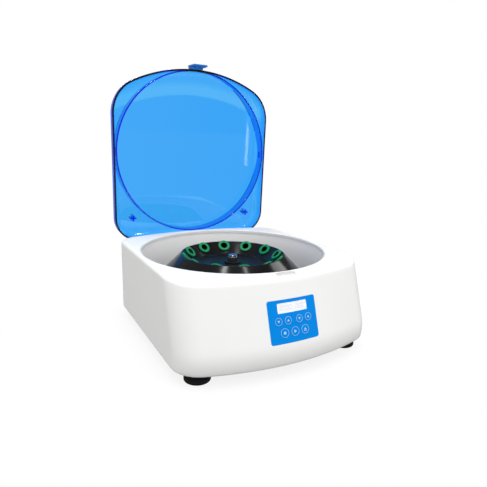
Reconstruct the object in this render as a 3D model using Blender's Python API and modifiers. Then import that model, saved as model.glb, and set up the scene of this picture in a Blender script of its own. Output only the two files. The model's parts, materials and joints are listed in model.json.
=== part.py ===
"""Benchtop laboratory centrifuge with a twelve-place angle rotor.

Metres, +Z up, front towards -Y. The feet stand on Z = 0 and the lid stands open, as it does for loading.
Heights stack up from the floor: feet, tray, motor, bowl floor, rotor, and last the deck around the bowl.
"""

import math

import bmesh
import bpy
from mathutils import Matrix, Vector

# Clearances
FIT = 0.0003
RUNNING = 0.0008

# Feet and tray
FOOT_HEIGHT = 0.0155
FOOT_RADIUS = 0.017
FOOT_NECK_RADIUS = 0.0135
FOOT_NECK = 0.0038
FOOT_SHOULDER = 0.0046
FOOT_SOLE_EDGE = 0.002
FOOT_SIDE_INSET = 0.031
FOOT_FRONT_INSET = 0.0447
FOOT_REAR_INSET = 0.048
TRAY_THICKNESS = 0.003
POST_RADIUS = 0.005
POST_INSET = 0.035

# Motor and its rubber mount
DAMPER_HEIGHT = 0.007
DAMPER_RADIUS = 0.007
DAMPER_INSET = 0.010
DAMPER_COUNT = 3
PLATE_THICKNESS = 0.003
PLATE_MARGIN = 0.014
CAN_HEIGHT = 0.024
CAN_RADIUS = 0.042
CAN_WALL = 0.002
CAN_COVER = 0.003
STATOR_THICKNESS = 0.009
MAGNET_THICKNESS = 0.014
BEARING_RADIUS = 0.010
SHAFT_RADIUS = 0.0045
COLLAR_RADIUS = 0.009
MOTOR_TO_BOWL = 0.0033

# Bowl
BOWL_RADIUS = 0.140
BOWL_WALL = 0.0012
BOWL_COVE = 0.014
BOWL_HOLE_RADIUS = 0.018
BOWL_DROP = 0.0053
SEAL_THICKNESS = 0.0012
SEAL_DROP = 0.0005
SEAL_HEIGHT = 0.0045
BOOT_HEIGHT = 0.003
BOOT_LIP = 0.004

# Rotor
ROTOR_FLOOR_GAP = 0.006
ROTOR_WALL_GAP = 0.013
ROTOR_SKIRT = 0.008
ROTOR_RIM_LAND = 0.0006
ROTOR_SKIN = 0.002
ROTOR_RIM_DROP = 0.008
DISH_SKIN = 0.003
DISH_DEPTH = 0.0182
DISH_FLOOR = 0.004
HUB_RADIUS = 0.0125
HUB_RISE = 0.0052
HUB_DROP = 0.020
NUT_RADIUS = 0.008
NUT_TOP_RADIUS = 0.007
NUT_HEIGHT = 0.0095
NUT_CROWN = 0.0025
NUT_CAP = 0.0045

# Tube sleeves, square to the dish wall
SLEEVE_COUNT = 12
SLEEVE_FIRST_ANGLE = math.radians(15)
SLEEVE_SEAT_INSET = 0.0548
SLEEVE_RIM_MARGIN = 0.0071
SLEEVE_RADIUS = 0.007
SLEEVE_BORE = 0.0054
SLEEVE_LENGTH = 0.052
SLEEVE_FLOOR = 0.0018
SLEEVE_FLANGE_RADIUS = 0.00975
SLEEVE_FLANGE = 0.002
SLEEVE_CHAMFER = 0.0006

# Housing
WALL = 0.003
SIDE_MARGIN = 0.006
FRONT_MARGIN = 0.011
REAR_MARGIN = 0.017
FRONT_TILT = math.radians(18)
FRONT_KNEE_HEIGHT = 0.030
FRONT_TUCK = 0.0095
FRONT_BOW = 0.395
FRONT_CORNER = 0.040
REAR_CORNER = 0.037
TOP_EDGE = 0.010
SIDE_EDGE = 0.005
BOTTOM_EDGE = 0.003
KNEE_STEPS = 4
HOUSING_EDGE_STEPS = 5

# Keypad
PANEL_WIDTH = 0.072
PANEL_HEIGHT = 0.054
PANEL_CORNER = 0.003
PANEL_DROP = 0.0298
PANEL_THICKNESS = 0.0009
WINDOW_WIDTH = 0.044
WINDOW_HEIGHT = 0.012
WINDOW_DROP = 0.0045
KEY_RADIUS = 0.0052
KEY_ROW_DROP = 0.0263
KEY_PAIR_INNER = 0.0084
KEY_PAIR_OUTER = 0.0222
BIG_KEY_RADIUS = 0.006
BIG_KEY_ROW_DROP = 0.041
BIG_KEY_PITCH = 0.0153
KEY_PROUD = 0.0004
KEY_DEPTH = 0.003
BOARD_DEPTH = 0.010
BOARD_THICKNESS = 0.0016
DISPLAY_MARGIN = 0.002

# Lid, its hook and its hinge
LID_GAP = 0.0006
LID_SIDE_MARGIN = 0.0034
LID_FRONT_MARGIN = 0.0005
LID_TAIL = 0.004
LID_DEPTH = 0.023
LID_WALL = 0.003
LID_EDGE = 0.012
LID_EDGE_STEPS = 4
LID_REAR_CORNER = 0.040
LID_FRONT_BOW = 0.249
LID_FRONT_CORNER = 0.059
LID_REAR_BOW = 10.0
LID_CREASE = 0.042
LID_FRONT_DROP = 0.45
LID_RING_WALL = 0.0022
LID_RING_INSET = 0.0008
LID_OPEN_ANGLE = math.radians(88)
STUD_SIDE_INSET = 0.0324
STUD_REAR_INSET = 0.039
STUD_SPAN = 0.009
STUD_RIB = 0.002
STUD_HEIGHT = 0.014
HOOK_WIDTH = 0.025
HOOK_MARGIN = 0.0051
HOOK_THICKNESS = 0.0036
HOOK_REACH = 0.018
HOOK_RISE = 0.010
NOTCH_DEPTH = 0.006
SLOT_SIDE_GAP = 0.0018
SLOT_FACE_GAP = 0.0007
KNUCKLE_RADIUS = 0.004
KNUCKLE_WIDTH = 0.006
HINGE_SIDE_INSET = 0.0363
PIN_RADIUS = 0.0018
ARM_THICKNESS = 0.0024
ARM_HEIGHT = 0.018
BRACKET_HEIGHT = 0.020
BRACKET_BACK = 0.001

# Lid lock
LOCK_HEIGHT = 0.0115
LOCK_DROP = 0.0075
LOCK_FRAME_WIDTH = 0.0085
LOCK_FRONT = 0.0032
LOCK_BACK = 0.0038
LOCK_OVERLAP = 0.003
COIL_INSET = 0.001
BOLT_HEIGHT = 0.004
BOLT_THICKNESS = 0.003
BOLT_DROP = 0.0125
PLUNGER_RADIUS = 0.0014
PLUNGER_LENGTH = 0.015
SOLENOID_LENGTH = 0.020
SWITCH_BODY_WIDTH = 0.011

# Power entry at the back
INLET_X = 0.032
INLET_WIDTH = 0.027
INLET_HEIGHT = 0.020
INLET_SOCKET_WIDTH = 0.022
INLET_SOCKET_HEIGHT = 0.015
INLET_SOCKET_DEPTH = 0.012
INLET_PIN = 0.0025
INLET_PIN_PITCH = 0.006
ROCKER_X = -0.012
ROCKER_WIDTH = 0.012
ROCKER_HEIGHT = 0.018
ROCKER_THICKNESS = 0.005
ROCKER_TILT = math.radians(8)
SWITCH_WALL = 0.0025
SWITCH_DEPTH = 0.009
ENTRY_HEIGHT = 0.0205
ENTRY_LIP = 0.002
ENTRY_PROUD = 0.0025
ENTRY_DEPTH = 0.018
BOARD_WIDTH = 0.036
BOARD_LENGTH = 0.080
BOARD_SIDE_INSET = 0.044
BOARD_Y = 0.010

# Levels, from the floor up
TRAY_TOP = FOOT_HEIGHT + TRAY_THICKNESS
DAMPER_BOTTOM = TRAY_TOP + FIT
PLATE_BOTTOM = DAMPER_BOTTOM + DAMPER_HEIGHT + FIT
CAN_BOTTOM = PLATE_BOTTOM + PLATE_THICKNESS + FIT
CAN_TOP = CAN_BOTTOM + CAN_HEIGHT
BOWL_UNDER = CAN_TOP + MOTOR_TO_BOWL
BOWL_FLOOR = BOWL_UNDER + BOWL_WALL
ROTOR_BOTTOM = BOWL_FLOOR + ROTOR_FLOOR_GAP
ROTOR_RADIUS = BOWL_RADIUS - ROTOR_WALL_GAP
CONE_BOTTOM = ROTOR_BOTTOM + ROTOR_SKIRT
SLEEVE_SEAT_RADIUS = ROTOR_RADIUS - SLEEVE_SEAT_INSET
ROTOR_RIM_RADIUS = SLEEVE_SEAT_RADIUS + SLEEVE_RIM_MARGIN
ROTOR_RIM = CONE_BOTTOM + ROTOR_RADIUS - ROTOR_RIM_RADIUS - ROTOR_RIM_LAND
DISH_FLOOR_TOP = ROTOR_RIM - DISH_DEPTH
HUB_TOP = DISH_FLOOR_TOP + HUB_RISE
HUB_BOTTOM = DISH_FLOOR_TOP - DISH_FLOOR - HUB_DROP
DECK = ROTOR_RIM + ROTOR_RIM_DROP

# Places that follow from the bowl and the motor
HALF_WIDTH = BOWL_RADIUS + SIDE_MARGIN
FRONT_Y = -(BOWL_RADIUS + FRONT_MARGIN)
REAR_Y = BOWL_RADIUS + REAR_MARGIN
HINGE_Y = REAR_Y - TOP_EDGE
HINGE_Z = DECK - TOP_EDGE
LID_EDGE_Z = DECK + LID_GAP
LID_HALF_WIDTH = BOWL_RADIUS + LID_SIDE_MARGIN
LID_FRONT_Y = -(BOWL_RADIUS + LID_FRONT_MARGIN)
LID_REAR_Y = HINGE_Y + LID_TAIL
HINGE_X = LID_HALF_WIDTH - HINGE_SIDE_INSET
STUD_X = LID_HALF_WIDTH - STUD_SIDE_INSET
STUD_Y = LID_REAR_Y - STUD_REAR_INSET
LATCH_Y = -(BOWL_RADIUS + HOOK_MARGIN)
POST_CIRCLE = BOWL_RADIUS - POST_INSET
PLATE_RADIUS = CAN_RADIUS + PLATE_MARGIN
DAMPER_CIRCLE = PLATE_RADIUS - DAMPER_INSET
BOARD_X = BOARD_SIDE_INSET - HALF_WIDTH
BOLT_Z = DECK - BOLT_DROP
LOCK_TOP = DECK - LOCK_DROP
ENTRY_Z = FOOT_HEIGHT + ENTRY_HEIGHT

# Bow of the back: at the hinges the wall has drawn in far enough for the knuckles to clear it
REAR_DRAW = TOP_EDGE + KNUCKLE_RADIUS + 2 * FIT
REAR_BOW = (HINGE_X ** 2 + REAR_DRAW ** 2) / (2 * REAR_DRAW)


def start_scene():
    """Empty the scene and return a collection for the pieces."""
    for item in list(bpy.data.objects):
        bpy.data.objects.remove(item, do_unlink=True)
    pieces = bpy.data.collections.new("laboratory_centrifuge")
    bpy.context.scene.collection.children.link(pieces)
    return pieces


PIECES = start_scene()


def add_piece(name, mesh):
    piece = bpy.data.objects.new(name, mesh)
    PIECES.objects.link(piece)
    return piece


def bake(piece):
    """Turn a piece's modifiers into its mesh, with doubles merged and faces pointing out."""
    bpy.context.view_layer.update()
    graph = bpy.context.evaluated_depsgraph_get()
    mesh = bpy.data.meshes.new_from_object(piece.evaluated_get(graph))
    shape = bmesh.new()
    shape.from_mesh(mesh)
    bmesh.ops.remove_doubles(shape, verts=shape.verts, dist=1e-6)
    bmesh.ops.recalc_face_normals(shape, faces=shape.faces)
    shape.to_mesh(mesh)
    shape.free()
    piece.modifiers.clear()
    piece.data = mesh


def combine(piece, other, operation):
    """Boolean of a piece with another object, which is used up."""
    step = piece.modifiers.new(operation.title(), 'BOOLEAN')
    step.operation = operation
    step.solver = 'EXACT'
    step.object = other
    bake(piece)
    bpy.data.objects.remove(other, do_unlink=True)


def cut(piece, other):
    combine(piece, other, 'DIFFERENCE')


def join(piece, other):
    combine(piece, other, 'UNION')


def box(name, low, high):
    """Block between two opposite corners."""
    mesh = bpy.data.meshes.new(name)
    shape = bmesh.new()
    bmesh.ops.create_cube(shape, size=1.0)
    size = [b - a for a, b in zip(low, high)]
    centre = [(a + b) / 2 for a, b in zip(low, high)]
    bmesh.ops.scale(shape, vec=size, verts=shape.verts)
    bmesh.ops.translate(shape, vec=centre, verts=shape.verts)
    shape.to_mesh(mesh)
    shape.free()
    return add_piece(name, mesh)


def rod(name, radius, start, end, sides=16):
    """Round bar between two points."""
    start, end = Vector(start), Vector(end)
    turn = (end - start).to_track_quat('Z', 'Y').to_matrix().to_4x4()
    mesh = bpy.data.meshes.new(name)
    shape = bmesh.new()
    bmesh.ops.create_cone(shape, cap_ends=True, segments=sides, radius1=radius, radius2=radius,
                          depth=(end - start).length)
    bmesh.ops.transform(shape, matrix=Matrix.Translation((start + end) / 2) @ turn, verts=shape.verts)
    shape.to_mesh(mesh)
    shape.free()
    return add_piece(name, mesh)


def turned(name, profile, steps=24, ring=True):
    """Profile of (radius, height) points turned about Z. A ring profile closes on itself."""
    mesh = bpy.data.meshes.new(name)
    edges = [(i, i + 1) for i in range(len(profile) - 1)]
    if ring:
        edges.append((len(profile) - 1, 0))
    mesh.from_pydata([(r, 0.0, z) for r, z in profile], edges, [])
    piece = add_piece(name, mesh)
    screw = piece.modifiers.new("Turn", 'SCREW')
    screw.axis = 'Z'
    screw.angle = 2 * math.pi
    screw.steps = steps
    screw.render_steps = steps
    screw.use_merge_vertices = True
    screw.merge_threshold = 1e-6
    bake(piece)
    return piece


def tube(name, outer, inner, low, high, steps=24):
    """Plain ring between two radii and two heights."""
    return turned(name, [(outer, high), (outer, low), (inner, low), (inner, high)], steps)


def loft(name, loops, mirrored_caps=False):
    """Closed skin through a list of point loops. Mirrored caps are strips from side to side."""
    mesh = bpy.data.meshes.new(name)
    shape = bmesh.new()
    rings = [[shape.verts.new(point) for point in loop] for loop in loops]
    count = len(rings[0])
    for lower, upper in zip(rings, rings[1:]):
        for i in range(count):
            j = (i + 1) % count
            shape.faces.new((lower[i], lower[j], upper[j], upper[i]))
    for cap in (rings[0], rings[-1]):
        if mirrored_caps:
            for i in range(count // 2):
                left = [cap[-i - 1], cap[-i]] if i else [cap[-1]]
                right = [cap[i], cap[i + 1]]
                corners = list(dict.fromkeys(right + left))
                shape.faces.new(corners)
        else:
            shape.faces.new(cap)
    bmesh.ops.recalc_face_normals(shape, faces=shape.faces)
    shape.to_mesh(mesh)
    shape.free()
    return add_piece(name, mesh)


def bow_and_corner(half_width, bow, corner, bow_steps=5, corner_steps=5):
    """Half of a bowed end: (across, depth from the apex, normal across, normal out) to the side line."""
    reach = half_width - corner
    turn = math.asin(reach / (bow - corner))
    centre_depth = bow - math.sqrt((bow - corner) ** 2 - reach ** 2)
    points = []
    for i in range(bow_steps):
        a = turn * i / bow_steps
        points.append((bow * math.sin(a), bow * (1 - math.cos(a)), math.sin(a), math.cos(a)))
    for i in range(corner_steps + 1):
        a = turn + (math.pi / 2 - turn) * i / corner_steps
        across = reach + corner * math.sin(a)
        points.append((across, centre_depth - corner * math.cos(a), math.sin(a), math.cos(a)))
    return points


def end_depth(across, half_width, bow, corner):
    """Depth of a bowed end below its apex at a distance across."""
    reach = half_width - corner
    if across <= bow * reach / (bow - corner):
        return bow - math.sqrt(bow ** 2 - across ** 2)
    centre_depth = bow - math.sqrt((bow - corner) ** 2 - reach ** 2)
    return centre_depth - math.sqrt(corner ** 2 - (across - reach) ** 2)


def plan(half_width, front_y, front_bow, front_corner, rear_y, rear_bow, rear_corner):
    """Plan outline with outward normals (x, y, nx, ny), anticlockwise from the front centre."""
    front_half = bow_and_corner(half_width, front_bow, front_corner)
    rear_half = bow_and_corner(half_width, rear_bow, rear_corner)
    front = [(x, front_y + depth, nx, -ny) for x, depth, nx, ny in front_half]
    rear = [(x, rear_y - depth, nx, ny) for x, depth, nx, ny in rear_half]
    right = front + rear[::-1]
    left = [(-x, y, -nx, ny) for x, y, nx, ny in right[1:-1]]
    return right + left[::-1]


def edge_inset(radius, below):
    """How far a rounded edge draws in at a distance below its top."""
    if below >= radius:
        return 0.0
    return radius - math.sqrt(max(0.0, radius ** 2 - (radius - below) ** 2))


def front_face(z):
    """Y of the front face on the centre line: a straight slope that turns under near the floor."""
    straight = FRONT_Y - (DECK - z) * math.tan(FRONT_TILT)
    below = max(0.0, FOOT_HEIGHT + FRONT_KNEE_HEIGHT - z)
    return straight + FRONT_TUCK * (below / FRONT_KNEE_HEIGHT) ** 2


def housing_loop(z, inset):
    """Housing outline at a height, drawn in by an inset from the outer skin."""
    outline = plan(HALF_WIDTH, front_face(z), FRONT_BOW, FRONT_CORNER, REAR_Y, REAR_BOW, REAR_CORNER)
    points = []
    for x, y, nx, ny in outline:
        edge = TOP_EDGE + (SIDE_EDGE - TOP_EDGE) * nx ** 2
        draw = inset + edge_inset(edge - inset, DECK - inset - z)
        draw += edge_inset(BOTTOM_EDGE, z - FOOT_HEIGHT) if inset <= 0 else 0.0
        points.append((x - nx * draw, y - ny * draw, z))
    return points


def rounding_levels(top, edge, steps):
    """Heights up a rounded edge, at even angles from its foot to its top."""
    return [top - edge * (1 - math.sin(math.pi / 2 * i / steps)) for i in range(steps + 1)]


def housing_solid(name, inset, bottom=FOOT_HEIGHT):
    """The housing's full form, drawn in by an inset, from a bottom height to the deck."""
    heights = {bottom, FOOT_HEIGHT, TRAY_TOP, FOOT_HEIGHT + BOTTOM_EDGE / 3, FOOT_HEIGHT + BOTTOM_EDGE}
    heights |= {FOOT_HEIGHT + FRONT_KNEE_HEIGHT * i / KNEE_STEPS for i in range(1, KNEE_STEPS + 1)}
    heights |= set(rounding_levels(DECK - inset, TOP_EDGE - inset, HOUSING_EDGE_STEPS))
    return loft(name, [housing_loop(z, inset) for z in sorted(heights)])


FACE_ACROSS = Vector((1, 0, 0))
FACE_UP = Vector((0, math.sin(FRONT_TILT), math.cos(FRONT_TILT)))
FACE_OUT = Vector((0, -math.cos(FRONT_TILT), math.sin(FRONT_TILT)))


def face_point(x, drop):
    """Point on the sloped face at a drop, along the slope, below the panel's top."""
    z = DECK - PANEL_DROP
    return Vector((x, front_face(z), z)) - FACE_UP * drop


def on_face(points, x, drop):
    """Points given across, up and out of the sloped face, placed in space."""
    origin = face_point(x, drop)
    return [origin + FACE_ACROSS * a + FACE_UP * b + FACE_OUT * c for a, b, c in points]


def rounded_rectangle(width, height, corner, z, steps=3):
    """Loop of a rectangle with round corners."""
    points = []
    for k in range(4):
        cx = (width / 2 - corner) * (1 if k in (0, 3) else -1)
        cy = (height / 2 - corner) * (1 if k in (0, 1) else -1)
        for i in range(steps + 1):
            a = math.pi / 2 * (k + i / steps)
            points.append((cx + corner * math.cos(a), cy + corner * math.sin(a), z))
    return points


def panel_block(name, width, height, corner, drop, low, high, grow=0.0):
    """Round-cornered block square to the sloped face, its middle at a drop below the panel's top."""
    loops = [rounded_rectangle(width + 2 * grow, height + 2 * grow, corner + grow, z) for z in (low, high)]
    return loft(name, [on_face(loop, 0.0, drop) for loop in loops])


def key_rod(name, radius, x, drop, low, high):
    start, end = on_face([(0, 0, low), (0, 0, high)], x, drop)
    return rod(name, radius, start, end, sides=16)


FACE_LOW = -0.008
FACE_HIGH = 0.004
POCKET_DEPTH = PANEL_THICKNESS + FIT
WINDOW_CENTRE = WINDOW_DROP + WINDOW_HEIGHT / 2
KEYS = [
    ("key_time_down", KEY_RADIUS, -KEY_PAIR_OUTER, KEY_ROW_DROP),
    ("key_time_up", KEY_RADIUS, -KEY_PAIR_INNER, KEY_ROW_DROP),
    ("key_speed_down", KEY_RADIUS, KEY_PAIR_INNER, KEY_ROW_DROP),
    ("key_speed_up", KEY_RADIUS, KEY_PAIR_OUTER, KEY_ROW_DROP),
    ("key_stop", BIG_KEY_RADIUS, -BIG_KEY_PITCH, BIG_KEY_ROW_DROP),
    ("key_start", BIG_KEY_RADIUS, 0.0, BIG_KEY_ROW_DROP),
    ("key_lid", BIG_KEY_RADIUS, BIG_KEY_PITCH, BIG_KEY_ROW_DROP),
]


def make_housing_shell():
    shell = housing_solid("housing_shell", 0.0)
    cut(shell, housing_solid("hollow", WALL, FOOT_HEIGHT - BOTTOM_EDGE))
    mouth = BOWL_RADIUS + FIT
    cut(shell, rod("mouth", mouth, (0, 0, DECK - 3 * WALL), (0, 0, DECK + WALL), sides=60))
    slot_x = HOOK_WIDTH / 2 + SLOT_SIDE_GAP
    slot_y = HOOK_THICKNESS / 2 + SLOT_FACE_GAP
    cut(shell, box("slot", (-slot_x, LATCH_Y - slot_y, DECK - 3 * WALL),
                   (slot_x, LATCH_Y + slot_y, DECK + WALL)))
    pocket = panel_block("pocket", PANEL_WIDTH, PANEL_HEIGHT, PANEL_CORNER, PANEL_HEIGHT / 2,
                         FACE_LOW, FACE_HIGH, FIT)
    cut(pocket, housing_solid("pocket_floor", POCKET_DEPTH))
    cut(shell, pocket)
    cut(shell, panel_block("view", WINDOW_WIDTH, WINDOW_HEIGHT, PANEL_CORNER / 3, WINDOW_CENTRE,
                           FACE_LOW, FACE_HIGH, FIT))
    for name, radius, x, drop in KEYS:
        cut(shell, key_rod("hole", radius + FIT, x, drop, FACE_LOW, FACE_HIGH))
    for x, width, height in entries():
        cut(shell, entry_block("entry_hole", x, width + 2 * FIT, height + 2 * FIT, REAR_Y + ENTRY_LIP))
    return [shell]


def make_panel():
    """Overlay, window and keys, all cut to the curve of the front face."""
    overlay = panel_block("panel_overlay", PANEL_WIDTH, PANEL_HEIGHT, PANEL_CORNER, PANEL_HEIGHT / 2,
                          FACE_LOW, FACE_HIGH)
    combine(overlay, housing_solid("skin", 0.0), 'INTERSECT')
    cut(overlay, housing_solid("under", PANEL_THICKNESS))
    cut(overlay, panel_block("view", WINDOW_WIDTH, WINDOW_HEIGHT, PANEL_CORNER / 3, WINDOW_CENTRE,
                             FACE_LOW, FACE_HIGH, FIT))
    window = panel_block("display_window", WINDOW_WIDTH, WINDOW_HEIGHT, PANEL_CORNER / 3, WINDOW_CENTRE,
                         FACE_LOW, FACE_HIGH)
    combine(window, housing_solid("skin", 0.0), 'INTERSECT')
    cut(window, housing_solid("under", WALL))
    keys = []
    for name, radius, x, drop in KEYS:
        cut(overlay, key_rod("hole", radius + FIT, x, drop, FACE_LOW, FACE_HIGH))
        key = key_rod(name, radius, x, drop, FACE_LOW, FACE_HIGH)
        combine(key, housing_solid("skin", -KEY_PROUD), 'INTERSECT')
        cut(key, housing_solid("under", KEY_DEPTH - KEY_PROUD))
        keys.append(set_origin(key, face_point(x, drop)))
    return [overlay, window] + keys


def make_front_electronics():
    """Display module behind its window and the control board behind that, both parallel to the face."""
    module_width = WINDOW_WIDTH + 2 * DISPLAY_MARGIN
    module_height = WINDOW_HEIGHT + 2 * DISPLAY_MARGIN
    bow_drop = WALL / math.cos(FRONT_TILT) + module_width ** 2 / (8 * FRONT_BOW)
    board_front = -(BOARD_DEPTH + bow_drop)
    module = panel_block("display_module", module_width, module_height, PANEL_CORNER / 3, WINDOW_CENTRE,
                         board_front + FIT, -bow_drop - FIT)
    board = panel_block("control_board", PANEL_WIDTH - 2 * PANEL_CORNER, PANEL_HEIGHT - 2 * PANEL_CORNER,
                        PANEL_CORNER / 3, PANEL_HEIGHT / 2, board_front - BOARD_THICKNESS, board_front)
    return [module, board]


def make_base():
    """Tray with four posts under the bowl floor, and the feet below it."""
    heights = {FOOT_HEIGHT, TRAY_TOP, FOOT_HEIGHT + BOTTOM_EDGE / 3, min(FOOT_HEIGHT + BOTTOM_EDGE, TRAY_TOP)}
    tray = loft("base_tray", [housing_loop(z, WALL + FIT) for z in sorted(heights)])
    reach = POST_CIRCLE / math.sqrt(2)
    for x in (-reach, reach):
        for y in (-reach, reach):
            join(tray, rod("post", POST_RADIUS, (x, y, FOOT_HEIGHT + TRAY_THICKNESS / 2),
                           (x, y, BOWL_UNDER - FIT), sides=12))
    foot_x = HALF_WIDTH - FOOT_SIDE_INSET
    front_y = front_face(FOOT_HEIGHT) + FOOT_FRONT_INSET
    rear_y = REAR_Y - FOOT_REAR_INSET
    top = FOOT_HEIGHT - FIT
    neck = top - FOOT_NECK
    profile = [(0, top), (FOOT_NECK_RADIUS, top), (FOOT_NECK_RADIUS, neck),
               (FOOT_RADIUS, neck - FOOT_SHOULDER), (FOOT_RADIUS, FOOT_SOLE_EDGE),
               (FOOT_RADIUS - FOOT_SOLE_EDGE, 0), (0, 0)]
    feet = []
    for end, y in (("front", front_y), ("rear", rear_y)):
        for side, x in (("left", -foot_x), ("right", foot_x)):
            foot = turned(f"foot_{end}_{side}", profile, steps=20, ring=False)
            foot.location = (x, y, 0)
            feet.append(foot)
    return [tray] + feet


def make_motor_mount():
    dampers = []
    for i in range(DAMPER_COUNT):
        a = math.pi / 2 + 2 * math.pi * i / DAMPER_COUNT
        x, y = DAMPER_CIRCLE * math.cos(a), DAMPER_CIRCLE * math.sin(a)
        dampers.append(rod(f"damper_{i + 1}", DAMPER_RADIUS, (x, y, DAMPER_BOTTOM),
                           (x, y, DAMPER_BOTTOM + DAMPER_HEIGHT), sides=12))
    plate = tube("motor_plate", PLATE_RADIUS, BEARING_RADIUS, PLATE_BOTTOM, PLATE_BOTTOM + PLATE_THICKNESS)
    return dampers + [plate]


def make_motor():
    """Can with a stator inside, and a bearing in each of its end covers."""
    hole = BEARING_RADIUS + FIT
    inside = CAN_RADIUS - CAN_WALL
    low, high = CAN_BOTTOM + CAN_COVER, CAN_TOP - CAN_COVER
    can = turned("motor_can", [
        (CAN_RADIUS, CAN_TOP), (CAN_RADIUS, CAN_BOTTOM), (hole, CAN_BOTTOM), (hole, low),
        (inside, low), (inside, high), (hole, high), (hole, CAN_TOP)])
    stator = tube("motor_stator", inside - FIT, inside - FIT - STATOR_THICKNESS, low + FIT, high - FIT)
    bore = SHAFT_RADIUS + FIT
    lower = tube("motor_bearing_lower", BEARING_RADIUS, bore, CAN_BOTTOM, low, steps=16)
    upper = tube("motor_bearing_upper", BEARING_RADIUS, bore, high, CAN_TOP, steps=16)
    return [can, stator, lower, upper]


def make_bowl():
    """Pan with a coved floor, the strip that lines its mouth, and the boot around the shaft."""
    top = DECK - BOWL_DROP
    outer, cove = BOWL_RADIUS + BOWL_WALL, BOWL_COVE + BOWL_WALL
    arc = [math.radians(a) for a in (0, 30, 60, 90)]
    centre_r, centre_z = BOWL_RADIUS - BOWL_COVE, BOWL_FLOOR + BOWL_COVE
    outside = [(centre_r + cove * math.cos(a), centre_z - cove * math.sin(a)) for a in arc]
    inside = [(centre_r + BOWL_COVE * math.cos(a), centre_z - BOWL_COVE * math.sin(a)) for a in arc]
    profile = [(outer, top)] + outside + [(BOWL_HOLE_RADIUS, BOWL_UNDER), (BOWL_HOLE_RADIUS, BOWL_FLOOR)]
    bowl = turned("bowl", profile + inside[::-1] + [(BOWL_RADIUS, top)], steps=60)
    seal_top = DECK - SEAL_DROP
    seal = tube("bowl_seal", BOWL_RADIUS, BOWL_RADIUS - SEAL_THICKNESS, seal_top - SEAL_HEIGHT, seal_top,
                steps=60)
    low = BOWL_FLOOR + FIT
    gap = COLLAR_RADIUS + RUNNING
    boot = turned("shaft_boot", [(gap + BOOT_LIP, low + BOOT_HEIGHT), (BOWL_HOLE_RADIUS + BOOT_LIP, low),
                                 (gap, low), (gap, low + BOOT_HEIGHT)])
    return [bowl, seal, boot]


def make_rotor():
    """Cone with a dish for the sleeves, on a shaft whose collar carries the hub."""
    root2 = math.sqrt(2)
    rim_out, rim_in = ROTOR_RIM_RADIUS + ROTOR_RIM_LAND, ROTOR_RIM_RADIUS - ROTOR_RIM_LAND
    lip = ROTOR_RADIUS - ROTOR_SKIN
    under_cone = rim_out - ROTOR_SKIN * root2
    under_dish = rim_in + DISH_SKIN * root2
    ridge = (under_dish - under_cone) / 2
    floor_under = DISH_FLOOR_TOP - DISH_FLOOR
    bore = SHAFT_RADIUS + FIT
    body = turned("rotor_body", [
        (rim_out, ROTOR_RIM), (ROTOR_RADIUS, CONE_BOTTOM), (ROTOR_RADIUS, ROTOR_BOTTOM), (lip, ROTOR_BOTTOM),
        (lip, ROTOR_RIM - (lip - under_cone)), (under_cone + ridge, ROTOR_RIM - ridge),
        (under_dish - (ROTOR_RIM - floor_under), floor_under), (HUB_RADIUS, floor_under),
        (HUB_RADIUS, HUB_BOTTOM), (bore, HUB_BOTTOM), (bore, HUB_TOP), (HUB_RADIUS, HUB_TOP),
        (HUB_RADIUS, DISH_FLOOR_TOP), (rim_in - DISH_DEPTH, DISH_FLOOR_TOP), (rim_in, ROTOR_RIM)], steps=60)
    lift = SLEEVE_FLANGE_RADIUS ** 2 / (2 * root2 * SLEEVE_SEAT_RADIUS) + FIT
    mouth = lift + SLEEVE_FLANGE
    profile = [(0, SLEEVE_FLOOR - SLEEVE_LENGTH), (SLEEVE_BORE, SLEEVE_FLOOR - SLEEVE_LENGTH),
               (SLEEVE_BORE, mouth - SLEEVE_CHAMFER), (SLEEVE_BORE + SLEEVE_CHAMFER, mouth),
               (SLEEVE_FLANGE_RADIUS - SLEEVE_CHAMFER, mouth), (SLEEVE_FLANGE_RADIUS, mouth - SLEEVE_CHAMFER),
               (SLEEVE_FLANGE_RADIUS, lift), (SLEEVE_RADIUS, lift), (SLEEVE_RADIUS, -SLEEVE_LENGTH),
               (0, -SLEEVE_LENGTH)]
    seat_z = ROTOR_RIM - (rim_in - SLEEVE_SEAT_RADIUS)
    sleeves = []
    for i in range(SLEEVE_COUNT):
        place = sleeve_frame(i, seat_z)
        hole = rod("sleeve_hole", SLEEVE_RADIUS + FIT, (0, 0, -2 * DISH_SKIN), (0, 0, DISH_SKIN), sides=12)
        hole.data.transform(place)
        cut(body, hole)
        sleeve = turned(f"tube_sleeve_{i + 1:02d}", profile, steps=14, ring=False)
        sleeve.data.transform(place)
        sleeves.append(sleeve)
    nut_low = HUB_TOP + FIT
    nut_high = nut_low + NUT_HEIGHT
    shaft_top = nut_high - NUT_CAP
    nut = turned("rotor_nut", [
        (0, nut_high), (NUT_TOP_RADIUS, nut_high), (NUT_TOP_RADIUS, nut_high - NUT_CROWN),
        (NUT_RADIUS, nut_high - NUT_CROWN), (NUT_RADIUS, nut_low), (bore, nut_low),
        (bore, shaft_top + FIT), (0, shaft_top + FIT)], ring=False)
    shaft = turned("drive_shaft", [
        (0, shaft_top), (SHAFT_RADIUS, shaft_top), (SHAFT_RADIUS, HUB_BOTTOM - FIT),
        (COLLAR_RADIUS, HUB_BOTTOM - FIT), (COLLAR_RADIUS, CAN_TOP + FIT),
        (SHAFT_RADIUS, CAN_TOP + FIT), (SHAFT_RADIUS, CAN_BOTTOM), (0, CAN_BOTTOM)], ring=False)
    magnet_out = CAN_RADIUS - CAN_WALL - STATOR_THICKNESS - FIT - RUNNING
    middle = (CAN_BOTTOM + CAN_TOP) / 2
    magnet = tube("motor_magnet", magnet_out, SHAFT_RADIUS + FIT, middle - MAGNET_THICKNESS / 2,
                  middle + MAGNET_THICKNESS / 2)
    return [body, nut, shaft, magnet] + sleeves


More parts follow.
